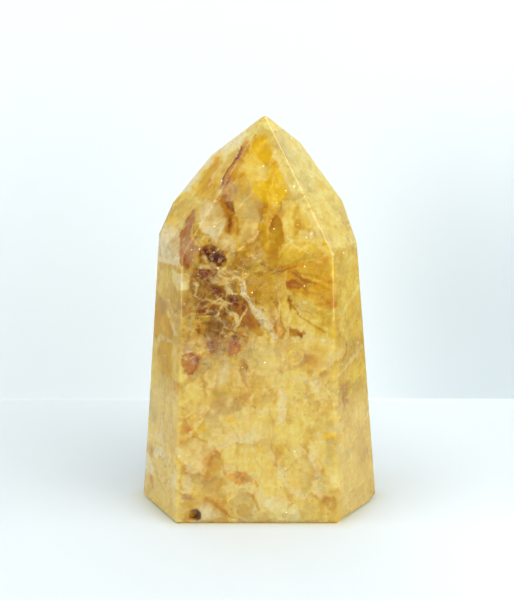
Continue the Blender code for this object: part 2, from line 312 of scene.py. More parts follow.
        (-11, 34.2), (-12, 36.2), (-10.5, 41.2)]),
    "rustLump": ("rust", "orange", 0.25, [(-7.5, 46.5), (-4.5, 46.2), (-4.5, 44), (-6, 43.2), (-7.7, 43.5)]),
    "goldUnder": ("gold", "gold", 0.3, [(-7.5, 43.2), (-4.5, 43.2), (-5.8, 41), (-7.5, 41.2)]),
    "plate": ("tan", "tan", 0.2, [(-5.3, 42), (-4.1, 42.5), (-2.8, 40.5), (-2.8, 35.7), (-3.6, 35.2),
        (-4.8, 36.5), (-5.5, 39.7)]),
    "plateTop": ("caramel", "umber", 0.2, [(-5.3, 41.7), (-4.1, 42.2), (-2.8, 40.5), (-3.1, 39.2),
        (-4.8, 40)]),
    "rustField": ("tan", "sand", 0.5, [(-0.6, 46.2), (4.5, 45.7), (5.3, 43.5), (2.3, 42.7), (-0.4, 44)]),
    "sugarField": ("sand", "sand", 0.6, [(-2.6, 42.5), (5.5, 42.5), (5.8, 36), (3.8, 36), (-2.6, 37)]),
    "speckField": ("sand", "sand", 0.4, [(2.3, 40), (5.3, 39.2), (5.1, 36.5), (2.8, 37)]),
    "pebble": ("gold", "gold", 0.25, [(6.5, 46.2), (11.2, 46.5), (11.4, 42.5), (9.2, 40.7), (6.5, 42),
        (6.3, 44.2)]),
    "orangeStreak": ("deepAmber", "orange", 0.3, [(11.2, 43.2), (14.9, 42.7), (14.4, 40), (11.4, 40.7)]),
    "paleStreak": ("straw", "gold", 0.35, [(11.9, 46.5), (17.3, 45.7), (19.4, 44.1), (16.4, 42.5),
        (12.4, 44)]),
    "orangeRight": ("gold", "gold", 0.4, [(17.6, 40.5), (20.2, 39), (18.4, 34.7), (16.2, 35.5)]),
    "lowField": ("straw", "straw", 0.5, [(-2.6, 37), (3.8, 36.2), (4.3, 30.7), (3.6, 26.1), (-1.4, 25.6),
        (-2.6, 30.7)]),
    "lilacSlab": ("cream", "cream", 0.55, [(3.8, 35.7), (6.5, 34.2), (7.1, 29.1), (5.1, 25.3), (3.6, 28.4),
        (4.3, 32.4)]),
    "brownChip": ("gold", "honey", 0.25, [(6.5, 37), (8, 37), (8.5, 34.7), (7, 34.2)]),
    "rightField": ("straw", "straw", 0.7, [(9, 35.7), (17.4, 34.5), (19.5, 26.6), (14.5, 24.3), (10, 26.9),
        (7.5, 31.9)]),
    "rightChip": ("gold", "gold", 0.3, [(15.2, 31.4), (17.7, 30.4), (17.2, 28.4), (16.2, 29.1)]),
    "greyChip": ("straw", "gold", 0.3, [(9.5, 32.4), (11.2, 32.4), (11.5, 29.7), (10, 29.9)]),
    "tanChip": ("straw", "honey", 0.55, [(6.6, 28.4), (9.5, 28.1), (9.3, 25.3), (5.3, 26.1)]),
    "gapShade": ("olive", "umberGold", 0.25, [(-12.5, 34), (-8.3, 33.4), (-8.5, 32.4), (-12, 32.7)]),
    "greyPatch": ("tan", "tan", 0.35, [(-12.5, 31.7), (-8.3, 32.7), (-5.3, 31.7), (-4.6, 28.9), (-7.5, 27.6),
        (-11, 28.1)]),
    "lemonPane": ("straw", "gold", 0.4, [(-19.6, 32.4), (-15.4, 32.4), (-14.5, 29.7), (-15.2, 26.1),
        (-18.2, 25.3), (-20.5, 28.1)]),
    "chipRust": ("orange", "caramel", 0.3, [(-19, 23.8), (-17, 23.8), (-17.5, 25.3), (-18.5, 25.3)]),
    "chipAmber": ("amber", "mustard", 0.3, [(-15.5, 23.8), (-12.5, 23), (-13.3, 25.1), (-14.7, 25.1)]),
    "chipAmber2": ("amber", "deepAmber", 0.3, [(-8.8, 26.1), (-5.3, 25.3), (-6.1, 26.9), (-8.3, 27.1)]),
    "greyBand": ("straw", "sand", 0.55, [(-15.7, 25.6), (-11.8, 27.4), (-7.8, 26.6), (-6.3, 24.3),
        (-9.8, 22.3), (-13.5, 21.3), (-15.3, 23.3)]),
    "whiteRidge": ("cream", "lemonMilk", 0.55, [(-11.6, 18.7), (-9.3, 20), (-6.1, 21.8), (-3.3, 24.3),
        (-0.9, 25.8), (-0.1, 23.8), (-0.4, 21.3), (-3.3, 20.2), (-6.8, 20.7), (-9.3, 19.2)]),
    "whiteSheet": ("cream", "cream", 0.55, [(-20.2, 19.9), (-17.7, 21.8), (-13.8, 21), (-11.8, 19.5),
        (-12.8, 15.1), (-14.3, 13), (-16.6, 12.5), (-20, 15.1)]),
    "goldPane": ("straw", "straw", 0.55, [(-11.8, 17.4), (-7.6, 19.7), (-4.6, 19), (-2.9, 15.9),
        (-3.6, 13.6), (-7.6, 15.1), (-12.1, 13.8)]),
    "greyLens": ("gold", "gold", 0.25, [(-1.4, 19.7), (1.6, 19.7), (1.4, 18.2), (-0.6, 18.2)]),
    "columnMauve": ("straw", "sand", 0.55, [(1.4, 18.2), (3.6, 17.2), (4.4, 12), (2.9, 12.8)]),
    "midField": ("gold", "straw", 0.6, [(-2.8, 17.9), (1.6, 17.7), (4.1, 11.5), (7.6, 6.8), (0.6, 9.4),
        (-2.4, 13.6)]),
    "sash": ("straw", "straw", 0.55, [(7.3, 21), (10.1, 19.7), (12.8, 15.9), (15.1, 13), (13.1, 12.5),
        (9.6, 16.4)]),
    "goldWedge": ("gold", "straw", 0.5, [(4.1, 17.9), (7.6, 16.6), (11.1, 12), (13.6, 7.4), (9.1, 8.9),
        (5.6, 13)]),
    "whiteArc": ("paleLemon", "lemonMilk", 0.55, [(12.1, 22.3), (13.8, 20.7), (14.1, 17.2), (16.6, 13.6),
        (17.1, 8.4), (15.1, 6.3), (13.6, 7.4), (13.1, 12), (14.1, 14.6), (12.3, 17.7)]),
    "whiteArm": ("paleLemon", "straw", 0.55, [(13.5, 21.8), (20.4, 20.8), (21.2, 18.6), (15.1, 18.2)]),
    "amberBand": ("amber", "amber", 0.35, [(15.8, 23.8), (20.4, 22.4), (20.4, 21.1), (15.5, 22)]),
    "lemonRight": ("straw", "butter", 0.5, [(15.1, 17.7), (20.4, 18.6), (20.4, 11.4), (17.6, 9.4),
        (15.6, 13.6)]),
    "pinkField": ("sand", "honey", 0.5, [(-13.6, 12.5), (-8.8, 13), (-5.4, 9.4), (-6.9, 6.8), (-13.4, 7.9)]),
    "redPatch": ("orange", "rust", 0.4, [(-8.3, 13), (-5.3, 13.8), (-2.1, 12.3), (0.9, 9.4), (-2.1, 9.7),
        (-6.1, 10.7)]),
    "brownPatch": ("sand", "sand", 0.55, [(-15.6, 12.5), (-11.8, 12.3), (-11.4, 8.9), (-15.1, 8.9)]),
    "orangePatch": ("honey", "honey", 0.55, [(-6.9, 5.6), (-2.1, 4.8), (-1.4, 1.9), (-4.6, 1.9)]),
    "lens": ("cream", "lemonMilk", 0.55, [(0.6, 7.4), (4.6, 6.8), (8.7, 4.8), (10.4, 2.7), (9.4, 1.1),
        (4.7, 0.2), (1.6, 1.9), (-0.6, 5.6)]),
    "paleBelt": ("sand", "sand", 0.55, [(-9.4, 9.4), (-4.9, 10), (0.6, 7.9), (-0.9, 6.3), (-5.9, 6.3)]),
    "rightBottom": ("gold", "straw", 0.5, [(11.7, 5.6), (16.4, 5.8), (20.5, 2.7), (19.7, 0.4), (10.4, 0.2)]),
    "tanBottom": ("straw", "straw", 0.3, [(11.2, 5), (14.7, 5.3), (14.7, 3.5), (11.7, 3.2)]),
    "seamMilk": ("cream", "milk", 0.3, [(-19.3, 12.5), (-16.8, 13), (-16.4, 8.4), (-19.1, 7.6)]),
    "pinkNub": ("mauve", "pink", 0.3, [(-19.1, 7.9), (-16.4, 7.6), (-17.1, 5.6), (-19.1, 6.3)]),
    "pitSide": ("sand", "sand", 0.4, [(-21.5, 5), (-17.9, 4.3), (-18.4, 1.7), (-20.5, 0.2), (-23.2, 2.1)]),
    "pitRing": ("orange", "rust", 0.2, [(-17.7, 3.7), (-14.8, 3.8), (-14.7, 0.8), (-17.6, 0.7)]),
    "footWhite": ("pearl", "milk", 0.55, [(-14.9, 6.3), (-11.4, 4.3), (-7.6, 1.1), (-14.7, 0.2),
        (-15.4, 3.7)]),
}

# the edges of overlapping sheets, each with a painted highlight on its near side and a painted shadow under
# it: how far in mm the highlight reaches, and the points of the edge; the highlight's side is to the left on
# the way from the first point to the last
folds = {
    "foldLeft": (3.0, [(-20.3, 19.7), (-17.7, 22.3), (-16, 24.1), (-13.7, 27.4), (-12.5, 29.9)]),
    "foldRidge": (4.0, [(-12.1, 17.4), (-9.3, 19.5), (-5.8, 21.5), (-3.1, 20.5), (-0.4, 21.3)]),
    "foldSheet": (4.0, [(-19.8, 14.6), (-16.8, 13), (-14.3, 13), (-12.8, 16.1), (-11.8, 18.7)]),
    "foldSash": (3.5, [(7.3, 20.5), (9.6, 16.4), (13.1, 12.3), (15.6, 12.5)]),
    "foldArc": (3.0, [(12.1, 21.8), (12.6, 17.7), (14.3, 14.1), (13.1, 11.5), (13.6, 7.4), (15.4, 6.3),
        (16.9, 7.9)]),
    "foldLens": (3.0, [(9.2, 0.9), (10.4, 2.4), (9.4, 4.5), (5.6, 6.8), (1.6, 7.9)]),
    "foldLilac": (3.0, [(5.3, 25.6), (7.1, 28.9), (7, 31.9), (5.8, 35)]),
    "foldPlate": (2.0, [(-2.6, 36), (-3.6, 35), (-4.8, 36.5), (-5.8, 41)]),
    "foldPebble": (2.5, [(6.5, 41.7), (9, 40.5), (10.9, 42), (11.4, 44.5)]),
    "foldPost": (2.5, [(3.6, 45.7), (5.3, 48.7), (4.8, 53), (3.3, 56.9)]),
    "foldPane": (2.5, [(-3.3, 56.9), (-4.3, 59.9), (-3.3, 62.8), (-0.4, 63.8), (2.6, 64.1)]),
    "foldField": (2.5, [(-2.6, 25.8), (-2.1, 30.9), (-2.6, 36), (-1.6, 40.5)]),
    "foldLow": (3.0, [(-5.1, 9.2), (-1.9, 7.6), (1.6, 4.5), (5.2, 1.7)]),
    "foldMid": (3.0, [(1.6, 17.9), (4.1, 15.9), (5.1, 12), (7.6, 8.4), (11.6, 6.3)]),
    "foldRight": (3.0, [(14.6, 17.7), (16.6, 14.1), (17.9, 10), (20.2, 8)]),
    "foldTongue": (2.0, [(-14.7, 38.7), (-13.2, 36.5), (-13.2, 34.2), (-11.5, 35), (-10.7, 39)]),
    "foldStep": (2.5, [(0.6, 52.2), (3.8, 49.5), (2.6, 46)]),
    "foldCliff": (2.5, [(8.8, 36), (10.7, 36.7), (14, 34), (15.2, 30.9), (14.5, 27.4)]),
    "foldShelf": (2.5, [(14, 32.4), (15.4, 38), (18.3, 41.5), (21.8, 43)]),
    "foldOval": (2.0, [(2.1, 71.8), (2.8, 75.9), (4.3, 77.1), (5.7, 75), (6.2, 71.4)]),
    "foldSlab": (2.5, [(-3.5, 69.5), (-0.6, 72.3), (0.1, 75.4), (-0.1, 78.6)]),
}

# coloured seams seen from the front, and a few short painted glints: colour, half width in mm, and the
# points they run through
seams = {
    "ridgeDark": ("umber", 0.28, [(-4.1, 92.8), (-5.8, 89.6), (-7.8, 86.6), (-9.5, 83.6)]),
    "streakA": ("deepAmber", 0.5, [(-10.4, 89.9), (-12.3, 85.5), (-14.5, 81.4)]),
    "streakB": ("mustard", 0.45, [(-11.9, 87.5), (-14.1, 83.6), (-16.1, 79.9)]),
    "streakC": ("pearl", 0.25, [(-8.8, 89.1), (-10.8, 85.4), (-12.7, 82.1)]),
    "streakD": ("gold", 0.3, [(-16.7, 82.2), (-19, 79.7), (-21.8, 77.1)]),
    "seamLeft": ("rust", 0.35, [(-16.2, 78), (-17.7, 75.1), (-18.8, 71.4), (-19.4, 68.7), (-18.4, 65.8),
        (-16.7, 64.3)]),
    "seamLine": ("umberGold", 0.2, [(-16.7, 63.8), (-16.7, 59.9), (-15.5, 55.9), (-13.8, 53.7)]),
    "seamRight": ("umberGold", 0.18, [(-16.1, 75.6), (-15.5, 72.2), (-15.2, 69.1)]),
    "ridgePale": ("thread", 0.25, [(2.6, 93.9), (7.7, 83.2), (11.4, 77.5), (15.7, 71.4)]),
    "ridgeRusty": ("amber", 0.22, [(15.2, 71.8), (16.6, 69.1), (17.6, 66.3), (18.2, 59.4)]),
    "capLine": ("orange", 0.35, [(1.6, 64.1), (5.2, 64.8), (9.8, 65.8), (15.7, 67), (17.6, 67)]),
    "capShade": ("umberGold", 0.3, [(2.6, 63.3), (6, 64.1), (9.8, 65.3)]),
    "wedgeLineA": ("rust", 0.25, [(7.7, 63.6), (11.3, 61.6), (14.7, 60.9)]),
    "wedgeLineB": ("caramel", 0.3, [(7.4, 60.9), (10.6, 59.9), (13.8, 58.4), (18, 55.4)]),
    "wedgeLineC": ("caramel", 0.28, [(9.9, 63.8), (14.2, 62.6), (17.9, 60.9)]),
    "wedgeLineD": ("mustard", 0.18, [(10.3, 64.8), (14.7, 64.8), (17.6, 63.8)]),
    "wedgeLineE": ("rust", 0.3, [(7, 57.9), (8.9, 54), (9.9, 52.5)]),
    "wedgeLineF": ("caramel", 0.3, [(8.4, 54), (12.9, 50.7), (16.8, 48.7)]),
    "wedgeLineG": ("gold", 0.18, [(10.9, 55.9), (14.3, 52.5), (17.3, 51.5)]),
    "wedgeLineH": ("orange", 0.6, [(14.3, 56.2), (18.2, 55.2)]),
    "fanA": ("orange", 0.22, [(8.5, 61.8), (13, 60.2), (17.6, 57.6)]),
    "fanB": ("amber", 0.25, [(10, 63.2), (14, 61.8), (17.8, 59.4)]),
    "fanC": ("orange", 0.2, [(8.2, 59.8), (12.4, 58), (16, 55.8)]),
    "fanD": ("lemon", 0.2, [(9, 58), (12.6, 55.8), (16.4, 53.6)]),
    "fanE": ("caramel", 0.18, [(7.6, 56.2), (11, 54.4), (14.6, 51.8)]),
    "snowLine": ("snow", 0.45, [(-4.2, 61), (-3.2, 57.5), (-1.2, 54.3), (1.6, 51.3), (3.6, 48)]),
    # painted glints: short bright strokes of snow colour
    "paintedGlintA": ("snow", 0.4, [(10.8, 56.5), (11.9, 56.3)]),
    "paintedGlintB": ("snow", 0.35, [(15.2, 47), (16.1, 46.6)]),
    "paintedGlintC": ("snow", 0.3, [(-10.6, 69.1), (-9.9, 68.8)]),
    "paintedGlintD": ("snow", 0.3, [(12.2, 73.2), (12.7, 71.8)]),
    "paintedGlintE": ("snow", 0.25, [(10.6, 37.8), (11.2, 37.5)]),
    "rightLineA": ("cream", 0.2, [(24.4, 66.8), (21.1, 64.5), (18.2, 62.1)]),
    "rightLineB": ("paleLemon", 0.2, [(25.1, 57.9), (22.5, 55.2), (19.6, 52)]),
    "rightSash": ("thread", 0.3, [(26.6, 42.5), (22.4, 39.5), (20.2, 38.3), (17.6, 37.5)]),
    "rightLineC": ("butter", 0.2, [(27.3, 35.5), (23.9, 32.5), (21.4, 30.7)]),
    "rightLineD": ("cream", 0.2, [(28.3, 24.8), (25.7, 20.2), (22.3, 18)]),
    "rustRidge": ("caramel", 0.25, [(21.8, 45.6), (21.6, 42.7), (19.9, 40.4)]),
    "skyEdge": ("snow", 0.25, [(-25.6, 64.2), (-23.6, 64.3), (-21, 65.1), (-19.1, 66.2)]),
    "leftWhite": ("snow", 0.15, [(-25, 26.3), (-24.8, 21.8)]),
    "leftStreak": ("cream", 0.18, [(-22.8, 52.5), (-21.4, 49.7), (-20, 47.2)]),
    "leftGrey": ("olive", 0.2, [(-26.7, 9.7), (-25.5, 7.4), (-23.8, 5.1)]),
    "leftRed": ("caramel", 0.2, [(-28.2, 7.6), (-27.6, 3.8)]),
    "lowRust": ("caramel", 0.3, [(-13.6, 7.1), (-11.4, 5.3), (-7.6, 2.4), (-4.6, 0.9)]),
    "lowRust2": ("caramel", 0.25, [(-4.1, 8.7), (-1.4, 6.3), (0.4, 3.7)]),
    "seamLow": ("orange", 0.2, [(-20.8, 16.9), (-19.8, 15.1), (-17.3, 13.6), (-16.1, 10.5)]),
    "seamLow2": ("caramel", 0.2, [(-19.8, 12), (-19.6, 8.4), (-18.4, 6.8), (-15.9, 6.3)]),
    "baseLine": ("beige", 0.25, [(-20.5, 0.2), (-4.8, 0.6), (10.1, 0.6), (19.5, 0.8)]),
    "sashLine": ("snow", 0.2, [(10.1, 20.2), (12.3, 17.9), (14.6, 14.6)]),
    "crackB": ("umberGold", 0.15, [(-8.2, 56.9), (-9.2, 54), (-8.2, 51.5)]),
}

# pale veins seen from the front: half width in mm, and the points they run through
veins = [
    (0.25, [(-14.3, 67.9), (-12.6, 65.5), (-11.4, 64.9), (-9.3, 64.6), (-7.8, 65.5)]),
    (0.23, [(-14.8, 65.5), (-13.6, 64.9), (-12, 65.8), (-10.2, 64.9), (-8.4, 63.7), (-6.6, 64),
        (-4.7, 63.1)]),
    (0.19, [(-10.2, 64.6), (-9, 62.5), (-7.2, 61.8), (-6, 62.5), (-4.1, 61.8)]),
    (0.19, [(-8.4, 61.8), (-7.5, 59.4), (-6, 58.2), (-4.8, 58.2)]),
    (0.3, [(-4.1, 62.5), (-3.8, 58.2), (-2.9, 55.7), (-1.1, 53.2), (2, 50.7), (2.9, 49.2)]),
    (0.27, [(-15.8, 55.7), (-13.3, 56.9), (-10.9, 56.3), (-9, 55.7), (-7.8, 53.8), (-6, 53.2), (-5.4, 50.7),
        (-6.3, 48.9)]),
    (0.15, [(-15.8, 53.8), (-13.9, 53.2), (-12.1, 55.7)]),
    (0.17, [(-9, 55.7), (-10.3, 53.8), (-12.7, 52.6), (-15.2, 52.6)]),
    (0.17, [(-5.4, 50.7), (-4.2, 53.2), (-3.5, 54.4)]),
    (0.19, [(-6.3, 48.9), (-7.8, 47.6), (-9.1, 47.9)]),
    (0.17, [(-12.1, 55.7), (-10.3, 57.5), (-8.4, 56.3), (-6.6, 55.7)]),
    (0.15, [(-7.8, 62.5), (-9, 60.6), (-10.2, 60.6)]),
    (0.19, [(-16.3, 61.8), (-15.1, 60.6), (-15.7, 58.2), (-14.5, 56.3)]),
    (0.17, [(-3.5, 70.2), (-1.1, 72.5), (0.1, 73.1)]),
    (0.19, [(-7.2, 68.5), (-3.5, 70.2)]),
    (0.15, [(-14.2, 68.8), (-15.1, 70.2), (-15.7, 71.3)]),
    (0.19, [(-23.7, 52.3), (-21.6, 49.6), (-20.5, 47.1)]),
    (0.15, [(-22.9, 55.2), (-21.5, 52.7), (-19.8, 52.4)]),
    (0.19, [(-18, 43.9), (-15.8, 44.2), (-15.2, 43.2)]),
    (0.15, [(-18.9, 42.6), (-17.4, 42), (-16.2, 42.6)]),
    (0.15, [(6.2, 72.5), (8.6, 69.7), (12.3, 68)]),
    (0.15, [(3.8, 61.8), (5, 55.7), (4.4, 49.5)]),
    (0.13, [(-15.2, 74.6), (-12.7, 74.5), (-10.3, 75.3), (-8.3, 76.7)]),
]


def towards(across, up, start, end):
    # how far each place is from the nearest point of a straight line, and that point's share of the way
    dx, dz = end[0] - start[0], end[1] - start[1]
    toX, toZ = across - start[0], up - start[1]
    share = np.clip((toX * dx + toZ * dz) / (dx * dx + dz * dz), 0.0, 1.0)
    return np.hypot(toX - share * dx, toZ - share * dz), share


def insideOf(across, up, corners):
    # how far inside a closed outline each place lies, less than nothing outside: the distance to the nearest
    # side, inside where a line to the right crosses an odd number of sides
    nearest, within = np.full(len(across), 1e9), np.zeros(len(across), bool)
    for start, end in zip(corners, corners[1:] + corners[:1]):
        nearest = np.minimum(nearest, towards(across, up, start, end)[0])
        if start[1] != end[1]:
            slope = (end[0] - start[0]) / (end[1] - start[1])
            within ^= ((start[1] > up) != (end[1] > up)) & (across < slope * (up - start[1]) + start[0])
    return np.where(within, nearest, -nearest)


def besideOf(across, up, corners):
    # how far each place is from an open line, on which side of it (1 is the left), and how far along, 0 to 1
    nearest, side, along = np.full(len(across), 1e9), np.ones(len(across)), np.zeros(len(across))
    for number, (start, end) in enumerate(zip(corners, corners[1:])):
        far, share = towards(across, up, start, end)
        near = far < nearest
        turn = (end[0] - start[0]) * (up - start[1]) - (end[1] - start[1]) * (across - start[0])
        side = np.where(near, np.sign(turn), side)
        along = np.where(near, (number + share) / (len(corners) - 1.0), along)
        nearest = np.minimum(nearest, far)
    return nearest, side, along


def nearOutline(across, up, corners, reach):
    # the numbers of the places within the corners' box, widened by reach
    low, high = np.min(corners, axis=0) - reach, np.max(corners, axis=0) + reach
    return np.flatnonzero((across > low[0]) & (across < high[0]) & (up > low[1]) & (up < high[1]))


def tapered(along, end):
    # 1 along a line, easing to nothing over the share end at both of its ends
    return smooth(along, 0.0, end) * (1.0 - smooth(along, 1.0 - end, 1.0))


# torn, crumb and snap push the outlines about: the first two by drifting noise in mm, snap by a share of the
# way to the cell's own seed. Areas whose rim is less soft than crispRim are crisp: they are laid on last,
# with less of torn and snap
frontLook = {
    "torn": 0.65, "tornSize": 4.0 * mm, "tornSalts": (3.0, 7.0), "tornCrisp": 0.4,
    "crumb": 0.42, "crumbSize": 1.5 * mm, "crumbSalts": (83.0, 85.0), "crumbCore": 0.8,
    "snap": 0.30, "snapCrisp": 0.5, "crispRim": 0.36,
    "softSize": 4.5 * mm, "softSalt": 89.0, "softShift": 0.4, "crispest": 0.25, "softest": 2.2,
    "cover": 0.95, "core": (0.1, 1.5), "areaReach": 2.5,
    # lit and deep are a painted highlight on the near side of a sheet's edge and a painted shadow under it;
    # litBehind and the reach say how far they spread
    "lit": (1.24, 1.25, 1.60), "litBehind": 0.25, "deep": (0.84, 0.74, 0.55), "shadowReach": 2.0,
    "foldEnd": 0.12,
    "seamCover": 0.85, "seamReach": 1.5, "seamWidth": (0.4, 0.8), "seamRim": (0.4, 1.6), "seamEnd": 0.1,
    "facing": -0.05, "fade": (1.5 * mm, 7.0 * mm),
}


def frontShare(points):
    # 1 on the faces seen from the front, falling to nothing some way behind them
    facing = faceNormals[:, 1] < frontLook["facing"]
    depth = (faceDistances[facing] - points @ faceNormals[facing].T).min(axis=1)
    return 1.0 - smooth(depth, *frontLook["fade"])


def layAreas(paint, places, crumb, rough, shown, crisp):
    # colours the inside of each area, from its rim's colour to its core's; rough makes a rim softer
    look = frontLook
    for rim, core, soft, corners in areas.values():
        if (soft < look["crispRim"]) != crisp:
            continue
        rows = nearOutline(*places.T, corners, look["areaReach"])
        depth = insideOf(*places[rows].T, corners)
        inner = smooth(depth + crumb[rows] * look["crumbCore"], *look["core"])
        colour = mixed(np.tile(light(rim), (len(rows), 1)), light(core), inner)
        share = smooth(depth, -soft * rough[rows], soft * rough[rows]) * look["cover"] * shown[rows]
        paint[rows] += (colour - paint[rows]) * share[:, None]


def layFolds(paint, places, shown):
    # paints a highlight on the near side of each sheet's edge and a shadow on what lies under it, both
    # fading with distance
    look = frontLook
    for reach, corners in folds.values():
        rows = nearOutline(*places.T, corners, reach)
        far, side, along = besideOf(*places[rows].T, corners)
        ends = tapered(along, look["foldEnd"]) * shown[rows]
        # painted highlight on the near side of the edge
        edgeHighlight = 1.0 - smooth(far, 0.0, np.where(side > 0.0, reach, look["litBehind"]))
        # painted shadow under the sheet's edge
        dark = np.where(side > 0.0, 0.0, 1.0 - smooth(far, 0.0, look["shadowReach"]))
        paint[rows] *= 1.0 + (np.array(look["lit"]) - 1.0) * (edgeHighlight * ends)[:, None]
        paint[rows] *= 1.0 + (np.array(look["deep"]) - 1.0) * (dark * ends)[:, None]


def laySeams(paint, places, rough, shown):
    # draws each seam and vein as a line whose width drifts with rough
    look = frontLook
    least, more = look["seamWidth"]
    inner, outer = look["seamRim"]
    for colour, half, corners in [*seams.values(), *(("thread", *vein) for vein in veins)]:
        rows = nearOutline(*places.T, corners, look["seamReach"])
        far, _, along = besideOf(*places[rows].T, corners)
        width = half * (least + rough[rows] * more)
        share = (1.0 - smooth(far, width * inner, width * outer)) * look["seamCover"] * shown[rows]
        paint[rows] = mixed(paint[rows], light(colour), share * tapered(along, look["seamEnd"]))


def frontPaint(points, seed, paint, crisp):
    # lays the soft areas, or the crisp ones, the sheet edges and the seams, over paint. Places are pushed
    # about by drifting noise and drawn towards their cell's seed, and the softness of a rim drifts along it,
    # so that the outlines follow the broken edges
    look = frontLook
    crumbs = driftingAll(points, look["crumbSize"], look["crumbSalts"])
    torn = driftingAll(points, look["tornSize"], look["tornSalts"]) * look["torn"]
    torn = torn * (look["tornCrisp"] if crisp else 1.0) + crumbs * look["crumb"]
    plain = points[:, [0, 2]] / mm + torn
    snap = look["snap"] * (look["snapCrisp"] if crisp else 1.0)
    snapped = plain + (seed - points)[:, [0, 2]] / mm * snap
    shown = frontShare(points)
    rough = np.clip(drifting(points, look["softSize"], look["softSalt"]) + look["softShift"], 0.0, 1.0)
    rough = look["crispest"] + (look["softest"] - look["crispest"]) * rough
    layAreas(paint, snapped, crumbs[:, 1], rough, shown, crisp)
    if crisp:
        layFolds(paint, snapped, shown)
        laySeams(paint, plain, rough, shown)
    return paint


def makePiece(name, points, faces, material, slot, flat=False, **marks):
    # marks are further attributes of the points: a number for each, or a colour for each
    mesh = bpy.data.meshes.new(name)
    mesh.from_pydata(points.tolist(), [], faces)
    for key, values in marks.items():
        if values.ndim == 1:
            mesh.attributes.new(key, "FLOAT", "POINT").data.foreach_set("value", values.astype(np.float32))
        else:
            rgba = np.column_stack([values, np.ones(len(values))]).astype(np.float32)
            mesh.attributes.new(key, "FLOAT_COLOR", "POINT").data.foreach_set("color", rgba.ravel())
    mesh.materials.append(material)
    if not flat:
        mesh.shade_smooth()
    piece = bpy.data.objects.new(name, mesh)
    bpy.context.scene.collection.objects.link(piece)
    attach(piece, "root")
    print(name, "made:", len(points), "points")
    return piece


# sizes of the broken cells, how strongly each size tones and steps, and how wide its pale edges are; push
# moves their space about, by noise of pushSize cells
breakLook = {
    "levels": ((13.0 * mm, 1.05, 0.60 * mm, 0.03), (5.4 * mm, 0.80, 0.35 * mm, 0.035),
               (2.3 * mm, 0.40, 0.12 * mm, 0.0)),
    "push": 0.42, "pushSize": 0.9, "pushSalts": (11.0, 13.0, 17.0), "stretch": (1.0, 1.0, 0.7),
    "salt": 4.0, "saltStep": 2.3, "rimSalt": 19.0, "tone": 1.1, "toSeed": 0.85,
    "deepest": 2.0, "rimShown": (0.0, 0.5), "rimSoft": 2.0, "thinnest": 1e-6,
}


def fractures(points, look):
    # the stone broken into cells of each size, their space pushed about by drifting noise: tone and sink
    # rise along each cell's own heading, which in the tone is painted shade and light across each broken
    # plate, on a random tone of the cell's own; rim is 1 on some cells' edges, and seed is a point that a
    # small cell shares
    tone, sink, rim = (np.zeros(len(points)) for _ in range(3))
    kinds = []
    for level, (size, weight, step, edge) in enumerate(look["levels"]):
        salt = look["salt"] + level * look["saltStep"]
        push = driftingAll(points, size * look["pushSize"], [salt + k for k in look["pushSalts"]])
        offset, marks, gap = brokenCells((points + push * size * look["push"]) * look["stretch"], size, salt)
        heading = marks - 0.5
        heading /= np.linalg.norm(heading, axis=1, keepdims=True)
        slope = (offset * heading).sum(axis=1)
        tone += weight * look["tone"] * (marks[:, 0] - 0.5 + slope)
        sink += step * np.clip(marks[:, 1] + slope, 0.0, look["deepest"])
        torn = drifting(points, size, salt + look["rimSalt"])
        shown = smooth(torn + marks[:, 2] - 0.5, *look["rimShown"])
        soft = edge * look["rimSoft"] + look["thinnest"]
        rim = np.maximum(rim, (1.0 - smooth(gap, 0.0, soft)) * shown)
        seed = points - offset / look["stretch"] * size * look["toSeed"]
        kinds.append(marks)
    return tone, sink, rim, seed, kinds


tip = np.array(max((vertex.co for vertex in stone.data.vertices), key=lambda place: place.z))

# what the heart's shell and the haze's share
shellLook = {
    "crowd": 0.45,                         # how strongly the turns crowd together at the front
    "square": 150.0,                       # how sharp the ridges are
    "calm": 6.0 * mm,                      # nearer the middle line than this, points sink less
    "topGap": 0.02 * mm, "tries": 2000,    # the last ring's distance from the crown, and heights tried
    "upright": 0.01,                       # a face whose normal leans less, as the base's, bounds nothing
}


def shellPoints(look):
    # (turn, height) -> a point of the line from the base's middle to the tip, plus the heading of turn times
    # reach, the soft least level distance to the stone's faces, each moved in by depth. Turns crowd together
    # towards the front. Rings of the foot and the point of the crown close it, and have no heading
    square = shellLook["square"]
    leaning = np.linalg.norm(faceNormals[:, :2], axis=1) > shellLook["upright"]
    normals, distances = faceNormals[leaning], faceDistances[leaning] - look["depth"]
    share = np.arange(look["turns"]) / look["turns"] * 2.0 * np.pi
    turn = share - shellLook["crowd"] * np.sin(share) - np.pi / 2.0
    heights = np.linspace(0.0, tip[2], shellLook["tries"])
    room = distances - (tip * (heights / tip[2])[:, None]) @ normals.T
    top = heights[room.min(axis=1) > 0.0].max()
    rise = np.linspace(look["lift"], top - shellLook["topGap"], look["rises"])
    turn, rise = np.meshgrid(turn, rise)
    heading = np.stack([np.cos(turn), np.sin(turn), np.zeros_like(turn)], axis=-1).reshape(-1, 3)
    middle = tip * (rise.reshape(-1, 1) / tip[2])
    closeness = np.clip(heading @ normals.T, 0.0, None) / (distances - middle @ normals.T)
    most = closeness.max(axis=1)
    reach = ((closeness / most[:, None]) ** square).sum(axis=1) ** (-1.0 / square) / most
    wall = middle + heading * reach[:, None]
    inner = np.arange(1, look["footRings"]) / look["footRings"]
    foot = (middle[0] + (wall[:look["turns"]] - middle[0]) * inner[:, None, None]).reshape(-1, 3)
    points = np.concatenate([[middle[0]], foot, wall, [[tip[0], tip[1], top]]])
    heading = heading * np.minimum(1.0, reach / shellLook["calm"])[:, None]
    heading = np.concatenate([np.zeros((len(foot) + 1, 3)), heading, np.zeros((1, 3))])
    return points, heading


